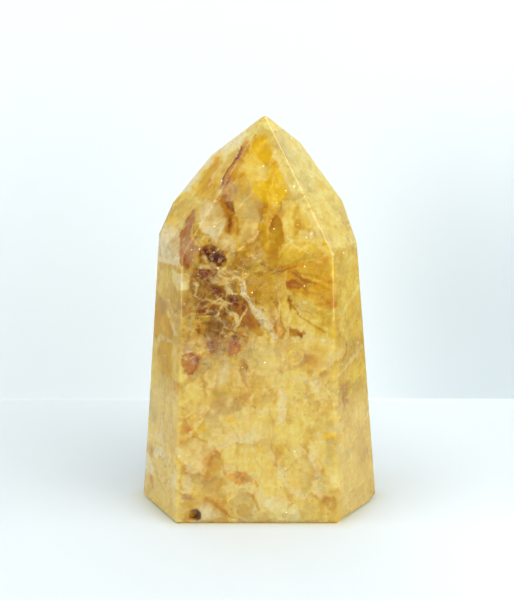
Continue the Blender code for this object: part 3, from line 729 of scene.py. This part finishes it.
def shellFaces(look):
    # four corners for each cell of (turn, height); the triangles at foot and crown have one corner twice
    rows = look["rises"] + look["footRings"] - 1
    cell = np.arange(rows * look["turns"]).reshape(-1, look["turns"]) + 1
    beside = np.roll(cell, -1, axis=1)
    last = cell[-1, -1] + 1
    quads = np.stack([cell[:-1], beside[:-1], beside[1:], cell[1:]], axis=-1).reshape(-1, 4)
    foot = np.stack([np.zeros_like(cell[0]), beside[0], beside[0], cell[0]], axis=-1)
    crown = np.stack([np.full_like(cell[0], last), cell[-1], cell[-1], beside[-1]], axis=-1)
    return np.concatenate([quads, foot, crown])


def withoutRepeats(faces):
    # lists of corners, with a corner that comes twice kept once
    return [list(dict.fromkeys(face)) for face in faces.tolist()]


golds = ["sand", "straw", "gold", "straw", "sand", "honey", "cream", "gold", "butter", "mustard"]
browns = ["caramel", "honey", "mustard", "tan", "orange", "brownGold", "sand"]

paintLook = {
    "cells": (0.6, 0.4),                                       # shares of the large and small cells' colours
    "browner": (0.45, 0.75), "brownSize": 17.0 * mm, "brownSalt": 61.0, "brownBack": (-6.0 * mm, 0.0),
    "side": (0.4, 0.75), "calm": 0.60, "calmStreak": 0.5,      # the side faces' tones are calmer
    "fine": 0.33, "rough": 0.9, "bright": (0.05, 0.45),        # fine tone on bright paint and on dark
    "fineSize": 2.6 * mm, "fineSalt": 71.0, "octaves": 4,
    "streak": 0.32, "streakSize": 6.0 * mm, "streakSalt": 73.0, "streakShape": (4.0, 4.0, 0.9),
    "streakLean": ((0.94, 0.0, 0.34), (0.0, 1.0, 0.0), (-0.34, 0.0, 0.94)),
    "rim": 0.45, "rimTorn": 0.4,                               # pale edges of the cells
    "late": 0.75, "changed": (0.02, 0.15),                     # crisp areas are toned once more
    "ripple": (0.07, 0.12, 0.22), "rippleStreak": 0.5,         # last ripple of red, green and blue
    "middle": 0.41, "contrast": 0.20, "darkest": 0.02,
    "left": 0.20, "right": 0.08,                               # painted light: the side faces made lighter, the left ones more
    "light": (0.99, 1.08, 1.64),                               # what falls in through the skin
    "mirror": 0.024, "sideMirror": 0.055,                      # what the skin reflects
    "escape": 0.378, "kept": 0.58,                             # shares of the light that leave and that stay
    "least": 0.004, "most": 0.97,
}
toneLook = {
    "lit": (1.22, 1.24, 1.25), "glowing": (0.04, 0.40), "glow": 0.66,             # above nothing
    "weak": (0.74, 0.60, 0.44), "strong": (0.45, 0.80), "shade": 0.64,            # below it
    "dark": 0.001,                                                                # added to a red of nothing
}


def toned(paint, tone, amount):
    # paler and milkier where the tone is above nothing, deeper below it, which paints light and shade where
    # the tone follows the cells' slopes: orange where the colour is strong, brown where it is weak
    look = toneLook
    least, more = look["glowing"]
    bright = smooth(paint[:, 1], *paintLook["bright"])
    lit = mixed(paint * look["lit"], light("glow"), least + more * bright)
    paint = paint + (lit - paint) * np.clip(tone * amount, 0.0, 1.0)[:, None] * look["glow"]
    strong = smooth(1.0 - paint[:, 2] / (paint[:, 0] + look["dark"]), *look["strong"])
    weak = np.tile(look["weak"], (len(paint), 1))
    deep = paint * mixed(weak, light("shade") / light("straw"), strong)
    return paint + (deep - paint) * np.clip(-tone * amount, 0.0, 1.0)[:, None] * look["shade"]


def ownColour(paint, sideways):
    # from the colour seen to the stone's own: light that comes in through the skin leaves by the escape
    # cone, and the rest is sent back and coloured again; a colour too strong keeps its hue
    look = paintLook
    mirror = look["mirror"] + (look["sideMirror"] - look["mirror"]) * sideways
    paint = np.clip(paint - mirror[:, None], look["least"], None)
    own = paint / (look["escape"] * np.array(look["light"]) + look["kept"] * paint)
    return own * np.minimum(1.0, look["most"] / own.max(axis=1, keepdims=True))


def crystalPaint(points, cracks):
    # golds picked cell by cell, brown ones here and there at the back, then the front's areas and seams;
    # paler or deeper by the tone, which holds painted shade and light across the broken plates, and pale on
    # the rims; the side faces get painted light
    look = paintLook
    tone, _, rim, seed, kinds = cracks
    large, small = look["cells"]
    paint = picked(golds, kinds[0][:, 0]) * large + picked(golds, kinds[1][:, 0]) * small
    brown = smooth(drifting(seed, look["brownSize"], look["brownSalt"]), *look["browner"])
    brown = brown * smooth(points[:, 1], *look["brownBack"])
    paint = paint + (picked(browns, kinds[1][:, 1]) - paint) * brown[:, None]
    paint = frontPaint(points, seed, paint, False)
    nearest = (faceDistances - points @ faceNormals.T).argmin(axis=1)
    sideways = smooth(np.abs(faceNormals[nearest][:, 0]), *look["side"])
    calm = 1.0 - look["calm"] * sideways
    bright = smooth(paint[:, 1], *look["bright"])
    fine = drifting(points, look["fineSize"], look["fineSalt"], look["octaves"])
    leant = points @ np.array(look["streakLean"]) * look["streakShape"]
    streak = drifting(leant, look["streakSize"], look["streakSalt"], look["octaves"])
    tone = tone + fine * (look["rough"] + (look["fine"] - look["rough"]) * bright)
    tone = (tone + streak * look["streak"] * (1.0 - look["calmStreak"] * sideways)) * calm
    paint = toned(paint, tone, 1.0)
    edge = np.clip(rim + fine * look["rimTorn"] * rim, 0.0, 1.0)
    paint = mixed(paint, light("thread"), edge * look["rim"] * calm)
    crisped = frontPaint(points, seed, paint.copy(), True)
    changed = smooth(np.abs(crisped - paint).max(axis=1), *look["changed"])
    paint = toned(crisped, tone * changed, look["late"])
    ripple = np.clip(fine + streak * look["rippleStreak"], -1.0, 1.0) * calm
    paint = paint * (1.0 + ripple[:, None] * np.array(look["ripple"]))
    paint = paint * (np.clip(paint[:, 1:2], look["darkest"], 1.0) / look["middle"]) ** look["contrast"]
    # painted light: the side faces are made lighter, the left ones more than the right, for the light that
    # falls on them
    lift = np.where(points[:, 0] < 0.0, look["left"], look["right"])
    paint = paint * (1.0 + sideways * lift)[:, None]
    return ownColour(paint, sideways)


webLook = {"plain": 0.04, "near": 0.9, "torn": 3.0, "tornSize": 5.0 * mm, "salts": (91.0, 93.0),
           "rim": (-3.0, 2.0), "front": (-2.0 * mm, 4.0 * mm),
           "patchSize": 12.0 * mm, "patch": (0.2, 0.7), "patchy": 0.4,
           "outline": [(-19, 70), (-14.5, 71), (-8, 70.5), (-2, 66), (1, 62), (4, 50), (-2, 44), (-12, 40),
                       (-18, 37), (-19, 48), (-17, 60)]}


def crackleWeb(points):
    # how thickly fine pale cracks lie: most in and round the brown part of the front
    look = webLook
    torn = drifting(points, look["tornSize"], look["salts"][0]) * look["torn"]
    depth = insideOf(points[:, 0] / mm, points[:, 2] / mm, look["outline"]) + torn
    near = smooth(depth, *look["rim"]) * (1.0 - smooth(points[:, 1], *look["front"]))
    patchy = drifting(points, look["patchSize"], look["salts"][1])
    patchy = smooth(patchy, *look["patch"]) * look["patchy"]
    return np.maximum(look["plain"] + patchy, near * look["near"])


def fill(tree, sockets, **inputs):
    # sockets by name (_ for a space) or by number (i0, i1): a node's output is linked, a value is set
    for key, value in inputs.items():
        number = key[1:].isdigit() and key[0] == "i"
        socket = sockets[int(key[1:])] if number else sockets[key.replace("_", " ")]
        if isinstance(value, bpy.types.NodeSocket):
            tree.links.new(value, socket)
        else:
            socket.default_value = value


def add(tree, kind, settings=None, **inputs):
    # one node: settings are its properties, inputs go to its sockets as fill says
    made = tree.nodes.new("ShaderNode" + kind)
    for key, value in (settings or {}).items():
        setattr(made, key, value)
    fill(tree, made.inputs, **inputs)
    return made


def maths(tree, operation, a, b=0.0, c=0.0):
    # a and b, and c where it takes a third, joined by the operation
    return add(tree, "Math", {"operation": operation}, i0=a, i1=b, i2=c).outputs[0]


def times(tree, a, b):
    # a times b
    return maths(tree, "MULTIPLY", a, b)


def vectorMaths(tree, operation, a, b=(0.0, 0.0, 0.0), out="Vector", **more):
    # the same for vectors; out is Value where the operation gives one number
    return add(tree, "VectorMath", {"operation": operation}, i0=a, i1=b, **more).outputs[out]


def ramp(tree, value, start, end, low=0.0, high=1.0):
    # low before start and high after end, eased between them
    settings = {"interpolation_type": "SMOOTHSTEP"}
    return add(tree, "MapRange", settings, i0=value, i1=start, i2=end, i3=low, i4=high).outputs["Result"]


def blend(tree, factor, first, second, kind="MIX"):
    # factor of the way from first to second, or to the two multiplied: each a socket or red, green and blue
    first, second = (colour if isinstance(colour, bpy.types.NodeSocket) else (*colour, 1.0)
                     for colour in (first, second))
    settings = {"data_type": "RGBA", "blend_type": kind, "clamp_factor": True}
    return add(tree, "Mix", settings, i0=factor, i6=first, i7=second).outputs[2]


def objectPlace(tree):
    # where a point is on its piece, in metres
    return add(tree, "TexCoord").outputs["Object"]


def ownMark(tree, name, out="Color"):
    # an attribute of the piece's points
    return add(tree, "Attribute", {"attribute_name": name}).outputs[out]


def startMaterial(name):
    # a new Principled material, its nodes, and its shader's sockets
    material = bpy.data.materials.new(name)
    material.use_nodes = True
    tree = material.node_tree
    return material, tree, tree.nodes["Principled BSDF"].inputs


def startGroup(name, inputs, outputs):
    # a node group with those sockets and nothing in it yet, what comes into it, and what goes out
    group = bpy.data.node_groups.new(name, "ShaderNodeTree")
    for key, kind, value in inputs:
        socket = group.interface.new_socket(key, in_out="INPUT", socket_type="NodeSocket" + kind)
        if value is not None:
            socket.default_value = value
    for key, kind in outputs:
        group.interface.new_socket(key, in_out="OUTPUT", socket_type="NodeSocket" + kind)
    return group, group.nodes.new("NodeGroupInput").outputs, group.nodes.new("NodeGroupOutput").inputs


skinLook = {"roughness": 0.025, "ior": 1.544, "tint": (0.99, 0.975, 0.93), "absorb": (1.0, 0.84, 0.36),
            "density": 30.0}


def skinMaterial(look):
    # clear quartz: plain transmission and IOR, and a body that takes up blue and lets gold through
    material, tree, shader = startMaterial("golden_quartz")
    fill(tree, shader, Base_Color=(*look["tint"], 1.0), Roughness=look["roughness"], IOR=look["ior"],
         Transmission_Weight=1.0)
    absorb = add(tree, "VolumeAbsorption", Color=(*look["absorb"], 1.0), Density=look["density"])
    fill(tree, tree.nodes["Material Output"].inputs, Volume=absorb.outputs["Volume"])
    return material


stone.data.materials[0] = skinMaterial(skinLook)
print("clear skin set on the stone")


# finer is how much finer the noise is than the cells it moves; the rest are the group's starting values
cellLook = {"scale": 100.0, "push": 0.01, "detail": 3.0, "finer": 1.6}


def cellsGroup(look):
    # a cell pattern whose space is first pushed about by noise: three random numbers for each cell, and the
    # slope, how far a point is from the cell's seed along the cell's own heading
    group, given, result = startGroup(
        "warped cells",
        [("Vector", "Vector", None), ("Scale", "Float", look["scale"]), ("Push", "Float", look["push"]),
         ("Detail", "Float", look["detail"])],
        [("Marks", "Color"), ("Slope", "Float"), ("Warped", "Vector")])
    middle = (0.5, 0.5, 0.5)
    finer = times(group, given["Scale"], look["finer"])
    noise = add(group, "TexNoise", Vector=given["Vector"], Scale=finer, Detail=given["Detail"]).outputs
    push = vectorMaths(group, "SUBTRACT", noise["Color"], middle)
    push = vectorMaths(group, "SCALE", push, Scale=given["Push"])
    warped = vectorMaths(group, "ADD", given["Vector"], push)
    cells = add(group, "TexVoronoi", Vector=warped, Scale=given["Scale"]).outputs
    across = vectorMaths(group, "SUBTRACT", warped, cells["Position"])
    across = vectorMaths(group, "SCALE", across, Scale=given["Scale"])
    heading = vectorMaths(group, "NORMALIZE", vectorMaths(group, "SUBTRACT", cells["Color"], middle))
    slope = vectorMaths(group, "DOT_PRODUCT", across, heading, out="Value")
    fill(group, result, Slope=slope, Marks=cells["Color"], Warped=warped)
    return group


warpedCells = cellsGroup(cellLook)


def cellsOf(tree, point, scale, push, detail):
    # the warped cells placed in a material, with its own values
    settings = {"node_tree": warpedCells}
    return add(tree, "Group", settings, Vector=point, Scale=scale, Push=push, Detail=detail).outputs


# what is sealed in the stone draws back from the pit: by sink within the first distance of clear from its
# middle, and not at all past the second
pitLook = {"place": (-16.3 * mm, -18.9 * mm, 2.2 * mm), "radii": (1.28 * mm, 1.9 * mm, 1.12 * mm),
           "clear": (1.3 * mm, 1.6 * mm), "sink": 2.4 * mm, "turns": 24, "rings": 10,
           "lump": 0.05, "lumpSize": 0.5, "lumpSalt": 101.0, "inside": 0.02 * mm,
           "grain": 1500.0, "grainDetail": 4.0, "grainRange": (0.35, 0.65), "dark": (0.09, 0.022, 0.004),
           "rusty": (0.40, 0.13, 0.012), "roughness": 0.8, "shine": 0.05}


def nearPit(points):
    # how far each point draws back from the pit: all of sink at its middle, nothing outside clear
    far = np.linalg.norm(points - np.array(pitLook["place"]), axis=1)
    return (1.0 - smooth(far, *pitLook["clear"])) * pitLook["sink"]


# depth is how far the heart lies under the skin, lift how far above the floor, and split the height at which
# its front is parted; wave and swell are the size and height of its slow hollows, ridge where it meets edges
heartLook = {"turns": 480, "rises": 370, "footRings": 8, "lift": 0.45 * mm, "depth": 0.28 * mm,
             "wave": 18.0 * mm, "swell": 1.2 * mm, "shift": 0.2, "salt": 3.0, "ridge": (0.3 * mm, 5.0 * mm),
             "split": 48.0 * mm}

# chips, crumbs and cracks are cells' scale, push and detail; specks are a channel of the crumbs' marks, the
# part of it that is speckled, how strong, and the colour; lines are the cracks' width, strength and colour
heartFinish = {
    "chips": (620.0, 0.0022, 3.0), "crumbs": (1050.0, 0.0016, 3.0), "cracks": (520.0, 0.0022, 1.0),
    "slope": (-0.7, 0.7), "chipShade": 0.85, "crumbShade": 0.91, "shade": (0.7, 1.0),
    "deep": (0.92, 0.78, 0.55), "lit": (1.02, 1.04, 1.10), "cover": (-0.8, 0.5),
    "specks": (("Red", (0.30, 0.15), 0.9, (0.42, 0.26, 0.20), "MULTIPLY"),
               ("Green", (0.76, 0.88), 0.4, (0.88, 0.72, 0.34), "MIX"),
               ("Blue", (0.72, 0.86), 0.6, (0.80, 0.40, 0.04), "MIX")),
    "patches": 260.0, "patchDetail": 3.0, "patch": (0.48, 0.66), "webShare": 0.6,
    "lines": (((0.02, 0.22), 0.6, (0.42, 0.16, 0.03)), ((0.01, 0.07), 0.7, (0.93, 0.81, 0.42))),
    "roughness": 0.6, "shine": 0.05,
}


def heartMaterial(look):
    # the points' own colour, shaded chip by chip and crumb by crumb, then specks of the crumbs and dark and
    # pale cracks where the web is thick
    material, tree, shader = startMaterial("cloudy_heart")
    point = objectPlace(tree)
    web = ownMark(tree, "web", "Fac")
    chips = cellsOf(tree, point, *look["chips"])
    crumbs = cellsOf(tree, point, *look["crumbs"])
    shade = times(tree, ramp(tree, chips["Slope"], *look["slope"], look["chipShade"], 1.0),
                  ramp(tree, crumbs["Slope"], *look["slope"], look["crumbShade"], 1.0))
    red, green, blue = (ramp(tree, shade, *look["shade"], deep, lit)
                        for deep, lit in zip(look["deep"], look["lit"]))
    tint = add(tree, "CombineColor", Red=red, Green=green, Blue=blue).outputs[0]
    paint = blend(tree, 1.0, ownMark(tree, "stain"), tint, "MULTIPLY")
    pick = add(tree, "SeparateColor", Color=crumbs["Marks"]).outputs
    cover = times(tree, ramp(tree, crumbs["Slope"], *look["cover"]), web)
    for channel, part, strength, colour, kind in look["specks"]:
        share = times(tree, ramp(tree, pick[channel], *part, 0.0, strength), cover)
        paint = blend(tree, share, paint, colour, kind)
    cracks = cellsOf(tree, point, *look["cracks"])
    edge = add(tree, "TexVoronoi", {"feature": "DISTANCE_TO_EDGE"}, Vector=cracks["Warped"],
               Scale=look["cracks"][0]).outputs["Distance"]
    patchy = add(tree, "TexNoise", Vector=point, Scale=look["patches"],
                 Detail=look["patchDetail"]).outputs["Fac"]
    shown = times(tree, ramp(tree, patchy, *look["patch"]), times(tree, web, look["webShare"]))
    for width, strength, colour in look["lines"]:
        share = times(tree, ramp(tree, edge, *width, 1.0, 0.0), times(tree, shown, strength))
        paint = blend(tree, share, paint, colour)
    fill(tree, shader, Base_Color=paint, Roughness=look["roughness"], Specular_IOR_Level=look["shine"])
    return material


def splitShell(name, points, faces, material, paint, web):
    # the front's lower and upper halves and the back, each a piece with only its own points
    middle = points[faces].mean(axis=1)
    front, low = middle[:, 1] < 0.0, middle[:, 2] < heartLook["split"]
    parts = {"front_foot": front & low, "front_crown": front & ~low, "back": ~front}
    for side, chosen in parts.items():
        used, row = np.unique(faces[chosen].ravel(), return_inverse=True)
        makePiece(name + "_" + side, points[used], withoutRepeats(row.reshape(-1, 4)), material,
                  "golden_quartz", stain=paint[used], web=web[used])


heartSkin, heartHeading = shellPoints(heartLook)
heartCracks = fractures(heartSkin, breakLook)
hollows = drifting(heartSkin, heartLook["wave"], heartLook["salt"]) + heartLook["shift"]
ridge = np.sort(faceDistances - heartSkin @ faceNormals.T, axis=1)[:, 1]
heartSink = np.clip(hollows, 0.0, None) * heartLook["swell"] + heartCracks[1]
heartSink = heartSink * smooth(ridge, *heartLook["ridge"])
heartPoints = heartSkin - heartHeading * (heartSink + nearPit(heartSkin))[:, None]
splitShell("cloudy_heart", heartPoints, shellFaces(heartLook), heartMaterial(heartFinish),
           crystalPaint(heartSkin, heartCracks), crackleWeb(heartSkin))

hazeLook = {"turns": 200, "rises": 190, "footRings": 3, "lift": 0.2 * mm, "depth": 0.12 * mm,
            "milk": (0.12, 0.42), "palest": 0.95}

# film is its cells' scale, push and detail; cover rises with their slope, and milk scales it; creamy and
# golden are a share of the way from the points' own colour and the colour there
hazeFinish = {"film": (95.0, 0.012, 5.0), "slope": (0.0, 0.8), "cover": (0.0, 0.30), "milk": (0.1, 1.0),
              "pick": (0.5, 0.75), "creamy": (0.35, (0.97, 0.92, 0.62)), "golden": (0.5, (0.92, 0.58, 0.01)),
              "roughness": 0.5, "shine": 0.1}


def hazeMaterial(look):
    # thin golden and creamy films: each cell's cover rises along its own heading and stops at its edge
    material, tree, shader = startMaterial("skin_haze")
    film = cellsOf(tree, objectPlace(tree), *look["film"])
    mark = add(tree, "SeparateColor", Color=film["Marks"]).outputs["Red"]
    cover = ramp(tree, film["Slope"], *look["slope"], *look["cover"])
    cover = times(tree, cover, ramp(tree, ownMark(tree, "milk", "Fac"), 0.0, 1.0, *look["milk"]))
    stain = ownMark(tree, "stain")
    creamy = blend(tree, look["creamy"][0], stain, look["creamy"][1])
    golden = blend(tree, look["golden"][0], stain, look["golden"][1])
    paint = blend(tree, ramp(tree, mark, *look["pick"]), creamy, golden)
    fill(tree, shader, Base_Color=paint, Alpha=cover, Roughness=look["roughness"],
         Specular_IOR_Level=look["shine"])
    return material


def hazePiece(name, look, material):
    # the film's shell, with the front's crisp areas on straw as its colour, and milk where that is bright
    points, heading = shellPoints(look)
    paint = frontPaint(points, points, np.tile(light("straw"), (len(points), 1)), True)
    points = points - heading * nearPit(points)[:, None]
    milk = smooth(paint.mean(axis=1), *look["milk"])
    return makePiece(name, points, withoutRepeats(shellFaces(look)), material, "milky_veil", milk=milk,
                     stain=np.clip(paint, 0.0, look["palest"]))


hazePiece("skin_haze", hazeLook, hazeMaterial(hazeFinish))


def nearestFaces(points):
    # how deep each point lies under the face of the stone nearest to it, and that face's normal
    depth = faceDistances - points @ faceNormals.T
    nearest = depth.argmin(axis=1)
    return depth[np.arange(len(points)), nearest], faceNormals[nearest]


def keepInside(points, margin):
    # a point nearer than margin to a face of the stone moves straight in from that face
    for _ in range(2):
        depth, normals = nearestFaces(points)
        points = points - normals * np.clip(margin - depth, 0.0, None)[:, None]
    return points


def pitLining(name, look, material):
    # (turn, ring) -> the inner half of a lumpy ellipsoid round the pit, from its deepest point outwards
    turns, rings = look["turns"], look["rings"]
    turn, ring = np.meshgrid(np.arange(turns) / turns, np.arange(1, rings + 1) / rings)
    around, down = turn.ravel() * 2.0 * np.pi, ring.ravel() * np.pi / 2.0
    unit = np.stack([np.sin(down) * np.cos(around), np.cos(down), np.sin(down) * np.sin(around)], axis=1)
    unit = np.concatenate([[[0.0, 1.0, 0.0]], unit])
    lump = 1.0 + look["lump"] * drifting(unit, look["lumpSize"], look["lumpSalt"])
    points = unit * lump[:, None] * np.array(look["radii"]) + np.array(look["place"])
    cell = np.arange(rings * turns).reshape(rings, turns) + 1
    beside = np.roll(cell, -1, axis=1)
    quads = np.stack([cell[:-1], cell[1:], beside[1:], beside[:-1]], axis=-1).reshape(-1, 4)
    fan = np.stack([np.zeros_like(cell[0]), cell[0], beside[0]], axis=-1)
    faces = quads.tolist() + fan.tolist()
    return makePiece(name, keepInside(points, look["inside"]), faces, material, "iron_stain")


def pitMaterial(look):
    # dark and rusty grains of dirt
    material, tree, shader = startMaterial("pit_dirt")
    grain = add(tree, "TexNoise", Vector=objectPlace(tree), Scale=look["grain"],
                Detail=look["grainDetail"]).outputs["Fac"]
    paint = blend(tree, ramp(tree, grain, *look["grainRange"]), look["dark"], look["rusty"])
    fill(tree, shader, Base_Color=paint, Roughness=look["roughness"], Specular_IOR_Level=look["shine"])
    return material


pitLining("pit_dirt", pitLook, pitMaterial(pitLook))

glintLook = {"count": 900, "smallest": 0.07 * mm, "largest": 0.26 * mm, "shallow": 0.17 * mm,
             "deep": 0.26 * mm, "tilt": 0.30, "salt": 17, "tries": 400,
             "corners": ((1.0, 0.1), (0.2, 0.6), (-0.9, 0.0), (-0.1, -0.5)),
             "color": (1.0, 0.91, 0.66, 1.0), "metal": 0.85, "roughness": 0.15}


def strewnPoints(look, rng):
    # points of the stone whose depth under the skin is from shallow to deep, picked evenly from its box
    low, high = np.array(cadBox[0]), np.array(cadBox[1])
    box = rng.uniform(low, high, (look["count"] * look["tries"], 3))
    depth, _ = nearestFaces(box)
    return box[(depth > look["shallow"]) & (depth < look["deep"])][:look["count"]]


def glints(name, look, material):
    # four-cornered flakes strewn under the skin, each turned a little from it
    rng = np.random.default_rng(look["salt"])
    middle = strewnPoints(look, rng)
    total = len(middle)
    _, normal = nearestFaces(middle)
    lean = rng.normal(size=(total, 3))
    out = normal + lean / np.linalg.norm(lean, axis=1, keepdims=True) * look["tilt"]
    side = np.cross(out, rng.normal(size=(total, 3)))
    side /= np.linalg.norm(side, axis=1, keepdims=True)
    up = np.cross(out / np.linalg.norm(out, axis=1, keepdims=True), side)
    size = look["smallest"] * (look["largest"] / look["smallest"]) ** rng.uniform(0.0, 1.0, (total, 1, 1))
    corner = np.array(look["corners"])
    flakes = middle[:, None] + (side[:, None] * corner[:, :1] + up[:, None] * corner[:, 1:]) * size
    faces = (np.arange(4) + np.arange(total)[:, None] * 4).tolist()
    return makePiece(name, flakes.reshape(-1, 3), faces, material, "milky_veil", flat=True)


def glintMaterial(look):
    # bright as a mirror, a little golden
    material, tree, shader = startMaterial("glints")
    fill(tree, shader, Base_Color=look["color"], Metallic=look["metal"], Roughness=look["roughness"])
    return material


glints("glints", glintLook, glintMaterial(glintLook))

# the paper's shape, then its paint, which holds painted light and shade: painted shade out at the sides, as
# if cards stood there, a painted shadow low on the wall at the right, a floor painted lighter to the right,
# and a wall painted lighter than the floor.
# Round the stone's six-sided foot a painted warm light, and under it a painted gold glow, as if light came
# down through the stone. wideHalf and deepHalf are half the foot's width and depth, and cut slants its
# corners
stageLook = {
    "near": -0.42, "wall": 81.0 * mm, "fillet": 0.7 * mm, "bends": 9, "top": 0.9, "half": 1.4,
    "under": 0.05 * mm,
    "floorPaint": (0.61, 0.645, 0.655), "floorLitRight": (0.675, 0.71, 0.715),
    "wallPaint": (0.708, 0.748, 0.763), "wallShadowRight": (0.58, 0.63, 0.65),
    "rightward": (15.0 * mm, 65.0 * mm), "shadeTo": (25.0 * mm, 115.0 * mm),
    "cardShade": 0.45, "cardShadeAt": (0.112, 0.140), "roughness": 0.7,
    "wideHalf": 30.4 * mm, "deepHalf": 19.4 * mm, "cut": 0.53,
    "warmLight": (0.97, 0.93, 0.78), "warmLightTo": (1.0, 1.2),
    "gold": (1.0, 0.72, 0.28), "glow": 0.6, "glowTo": (0.95, 1.0),
}


def sweepMesh(look):
    # (along, profile) -> x along, then level floor, a quarter circle and an upright wall
    bend = np.linspace(0.0, np.pi / 2.0, look["bends"])
    wall, fillet = look["wall"], look["fillet"]
    depth = np.concatenate([[look["near"]], wall - fillet * (1.0 - np.sin(bend)), [wall]])
    rise = np.concatenate([[0.0], fillet * (1.0 - np.cos(bend)), [look["top"]]]) - look["under"]
    across, place = np.meshgrid([-look["half"], look["half"]], np.arange(len(depth)))
    points = np.stack([across, depth[place], rise[place]], axis=-1).reshape(-1, 3)
    row = np.arange(len(depth) - 1) * 2
    mesh = bpy.data.meshes.new("paper_sweep")
    mesh.from_pydata(points.tolist(), [], np.stack([row, row + 1, row + 3, row + 2], axis=-1).tolist())
    mesh.shade_smooth()
    return mesh


def paperMaterial(look):
    # pale paper, clear from behind, with the painted light and shade said above. foot is 1 on the edge of
    # the stone's six-sided foot and more outside it: the larger of y by the half depth and of x plus the cut
    # share of y by the half width
    material, tree, shader = startMaterial("white_paper")
    point = objectPlace(tree)
    here = add(tree, "SeparateXYZ", Vector=point).outputs
    away = add(tree, "SeparateXYZ", Vector=vectorMaths(tree, "ABSOLUTE", point)).outputs
    rightward = ramp(tree, here["X"], *look["rightward"])
    # painted shadow: this marks where the wall darkens, low down at the right
    low = times(tree, rightward, ramp(tree, here["Z"], *look["shadeTo"], 1.0, 0.0))
    # painted light: the floor is lighter to the right
    floor = blend(tree, rightward, look["floorPaint"], look["floorLitRight"])
    # painted shadow low on the wall at the right
    wall = blend(tree, low, look["wallPaint"], look["wallShadowRight"])
    # painted light: the wall is painted lighter than the floor
    paint = blend(tree, ramp(tree, here["Z"], 0.0, look["fillet"]), floor, wall)
    slant = maths(tree, "MULTIPLY_ADD", away["Y"], look["cut"], away["X"])
    foot = maths(tree, "MAXIMUM", maths(tree, "DIVIDE", away["Y"], look["deepHalf"]),
                 maths(tree, "DIVIDE", slant, look["wideHalf"]))
    # painted warm light on the floor round the stone's foot
    warmLight = blend(tree, 1.0, paint, look["warmLight"], "MULTIPLY")
    paint = blend(tree, ramp(tree, foot, *look["warmLightTo"], 1.0, 0.0), paint, warmLight)
    # painted shade out at the sides, as if cards stood there
    cardShaded = blend(tree, 1.0, paint, (look["cardShade"],) * 3, "MULTIPLY")
    paint = blend(tree, ramp(tree, away["X"], *look["cardShadeAt"]), paint, cardShaded)
    # a painted gold glow under the foot, as if light came down through the stone
    glowUnderFoot = times(tree, ramp(tree, foot, *look["glowTo"], 1.0, 0.0),
                   ramp(tree, here["Z"], 0.0, look["fillet"], 1.0, 0.0))
    fill(tree, shader, Base_Color=paint, Roughness=look["roughness"], Emission_Color=(*look["gold"], 1.0),
         Emission_Strength=times(tree, glowUnderFoot, look["glow"]))
    behind = add(tree, "NewGeometry").outputs["Backfacing"]
    front = tree.nodes["Principled BSDF"].outputs[0]
    mixer = add(tree, "MixShader", i0=behind, i1=front, i2=add(tree, "BsdfTransparent").outputs[0])
    fill(tree, tree.nodes["Material Output"].inputs, Surface=mixer.outputs[0])
    return material


sweep = bpy.data.objects.new("paper_sweep", sweepMesh(stageLook))
sweep.data.materials.append(paperMaterial(stageLook))
bpy.context.scene.collection.objects.link(sweep)
print("paper sweep made")

# a bright room, dimmer overhead, with a dim part straight in front, where the camera stands; the dim part
# only shows in reflections and in the light that falls on things
worldLook = {"color": (0.95, 0.985, 1.0), "strength": 3.35, "zenith": 0.42, "zenithFrom": (0.35, 0.95),
             "dim": 0.09, "half": 0.50, "low": -0.45, "high": 0.74, "soft": 0.10, "front": (-0.2, 0.0)}


def lightRoom(look):
    # the strength of the light from each heading: dim within a soft-edged window in front, full elsewhere
    world = bpy.data.worlds.new("studio")
    bpy.context.scene.world = world
    world.use_nodes = True
    tree = world.node_tree
    heading = add(tree, "SeparateXYZ", Vector=add(tree, "TexCoord").outputs["Generated"]).outputs
    soft = look["soft"]
    aside = maths(tree, "ABSOLUTE", heading["X"])
    aside = ramp(tree, aside, look["half"] - soft, look["half"] + soft, 1.0, 0.0)
    over = ramp(tree, heading["Z"], look["high"] - soft, look["high"] + soft, 1.0, 0.0)
    under = ramp(tree, heading["Z"], look["low"] - soft, look["low"] + soft)
    front = ramp(tree, heading["Y"], *look["front"], 1.0, 0.0)
    window = times(tree, times(tree, aside, over), times(tree, under, front))
    direct = add(tree, "LightPath").outputs["Is Camera Ray"]
    window = times(tree, window, maths(tree, "SUBTRACT", 1.0, direct))
    shine = times(tree, ramp(tree, window, 0.0, 1.0, 1.0, look["dim"]), look["strength"])
    shine = times(tree, shine, ramp(tree, heading["Z"], *look["zenithFrom"], 1.0, look["zenith"]))
    fill(tree, tree.nodes["Background"].inputs, Color=(*look["color"], 1.0), Strength=shine)


lightRoom(worldLook)

keyLook = {"place": (0.36, -0.50, 0.62), "aim": (0.02, -0.02, 0.0), "size": (0.50, 0.50), "watts": 2.25}


def softLamp(name, look):
    # a rectangle of light at place, turned to face aim
    source = bpy.data.lights.new(name, "AREA")
    source.shape = "RECTANGLE"
    source.size, source.size_y = look["size"]
    source.energy = look["watts"]
    holder = bpy.data.objects.new(name, source)
    holder.location = look["place"]
    holder.rotation_euler = (Vector(look["aim"]) - Vector(look["place"])).to_track_quat("-Z", "Y").to_euler()
    bpy.context.scene.collection.objects.link(holder)


softLamp("key", keyLook)
print("room and key lamp lit")

viewLook = {"place": Vector((-0.611, -350.797, 140.6)) * mm, "tilt": 76.0, "lens": 85.0, "sensor": 36.0,
            "nearest": 0.01}
lens = bpy.data.cameras.new("camera")
lens.lens, lens.sensor_width, lens.clip_start = viewLook["lens"], viewLook["sensor"], viewLook["nearest"]
camera = bpy.data.objects.new("camera", lens)
camera.location = viewLook["place"]
camera.rotation_euler = (np.radians(viewLook["tilt"]), 0.0, 0.0)
bpy.context.scene.collection.objects.link(camera)
bpy.context.scene.camera = camera
bpy.context.scene.view_settings.view_transform = "Standard"
print("camera set")
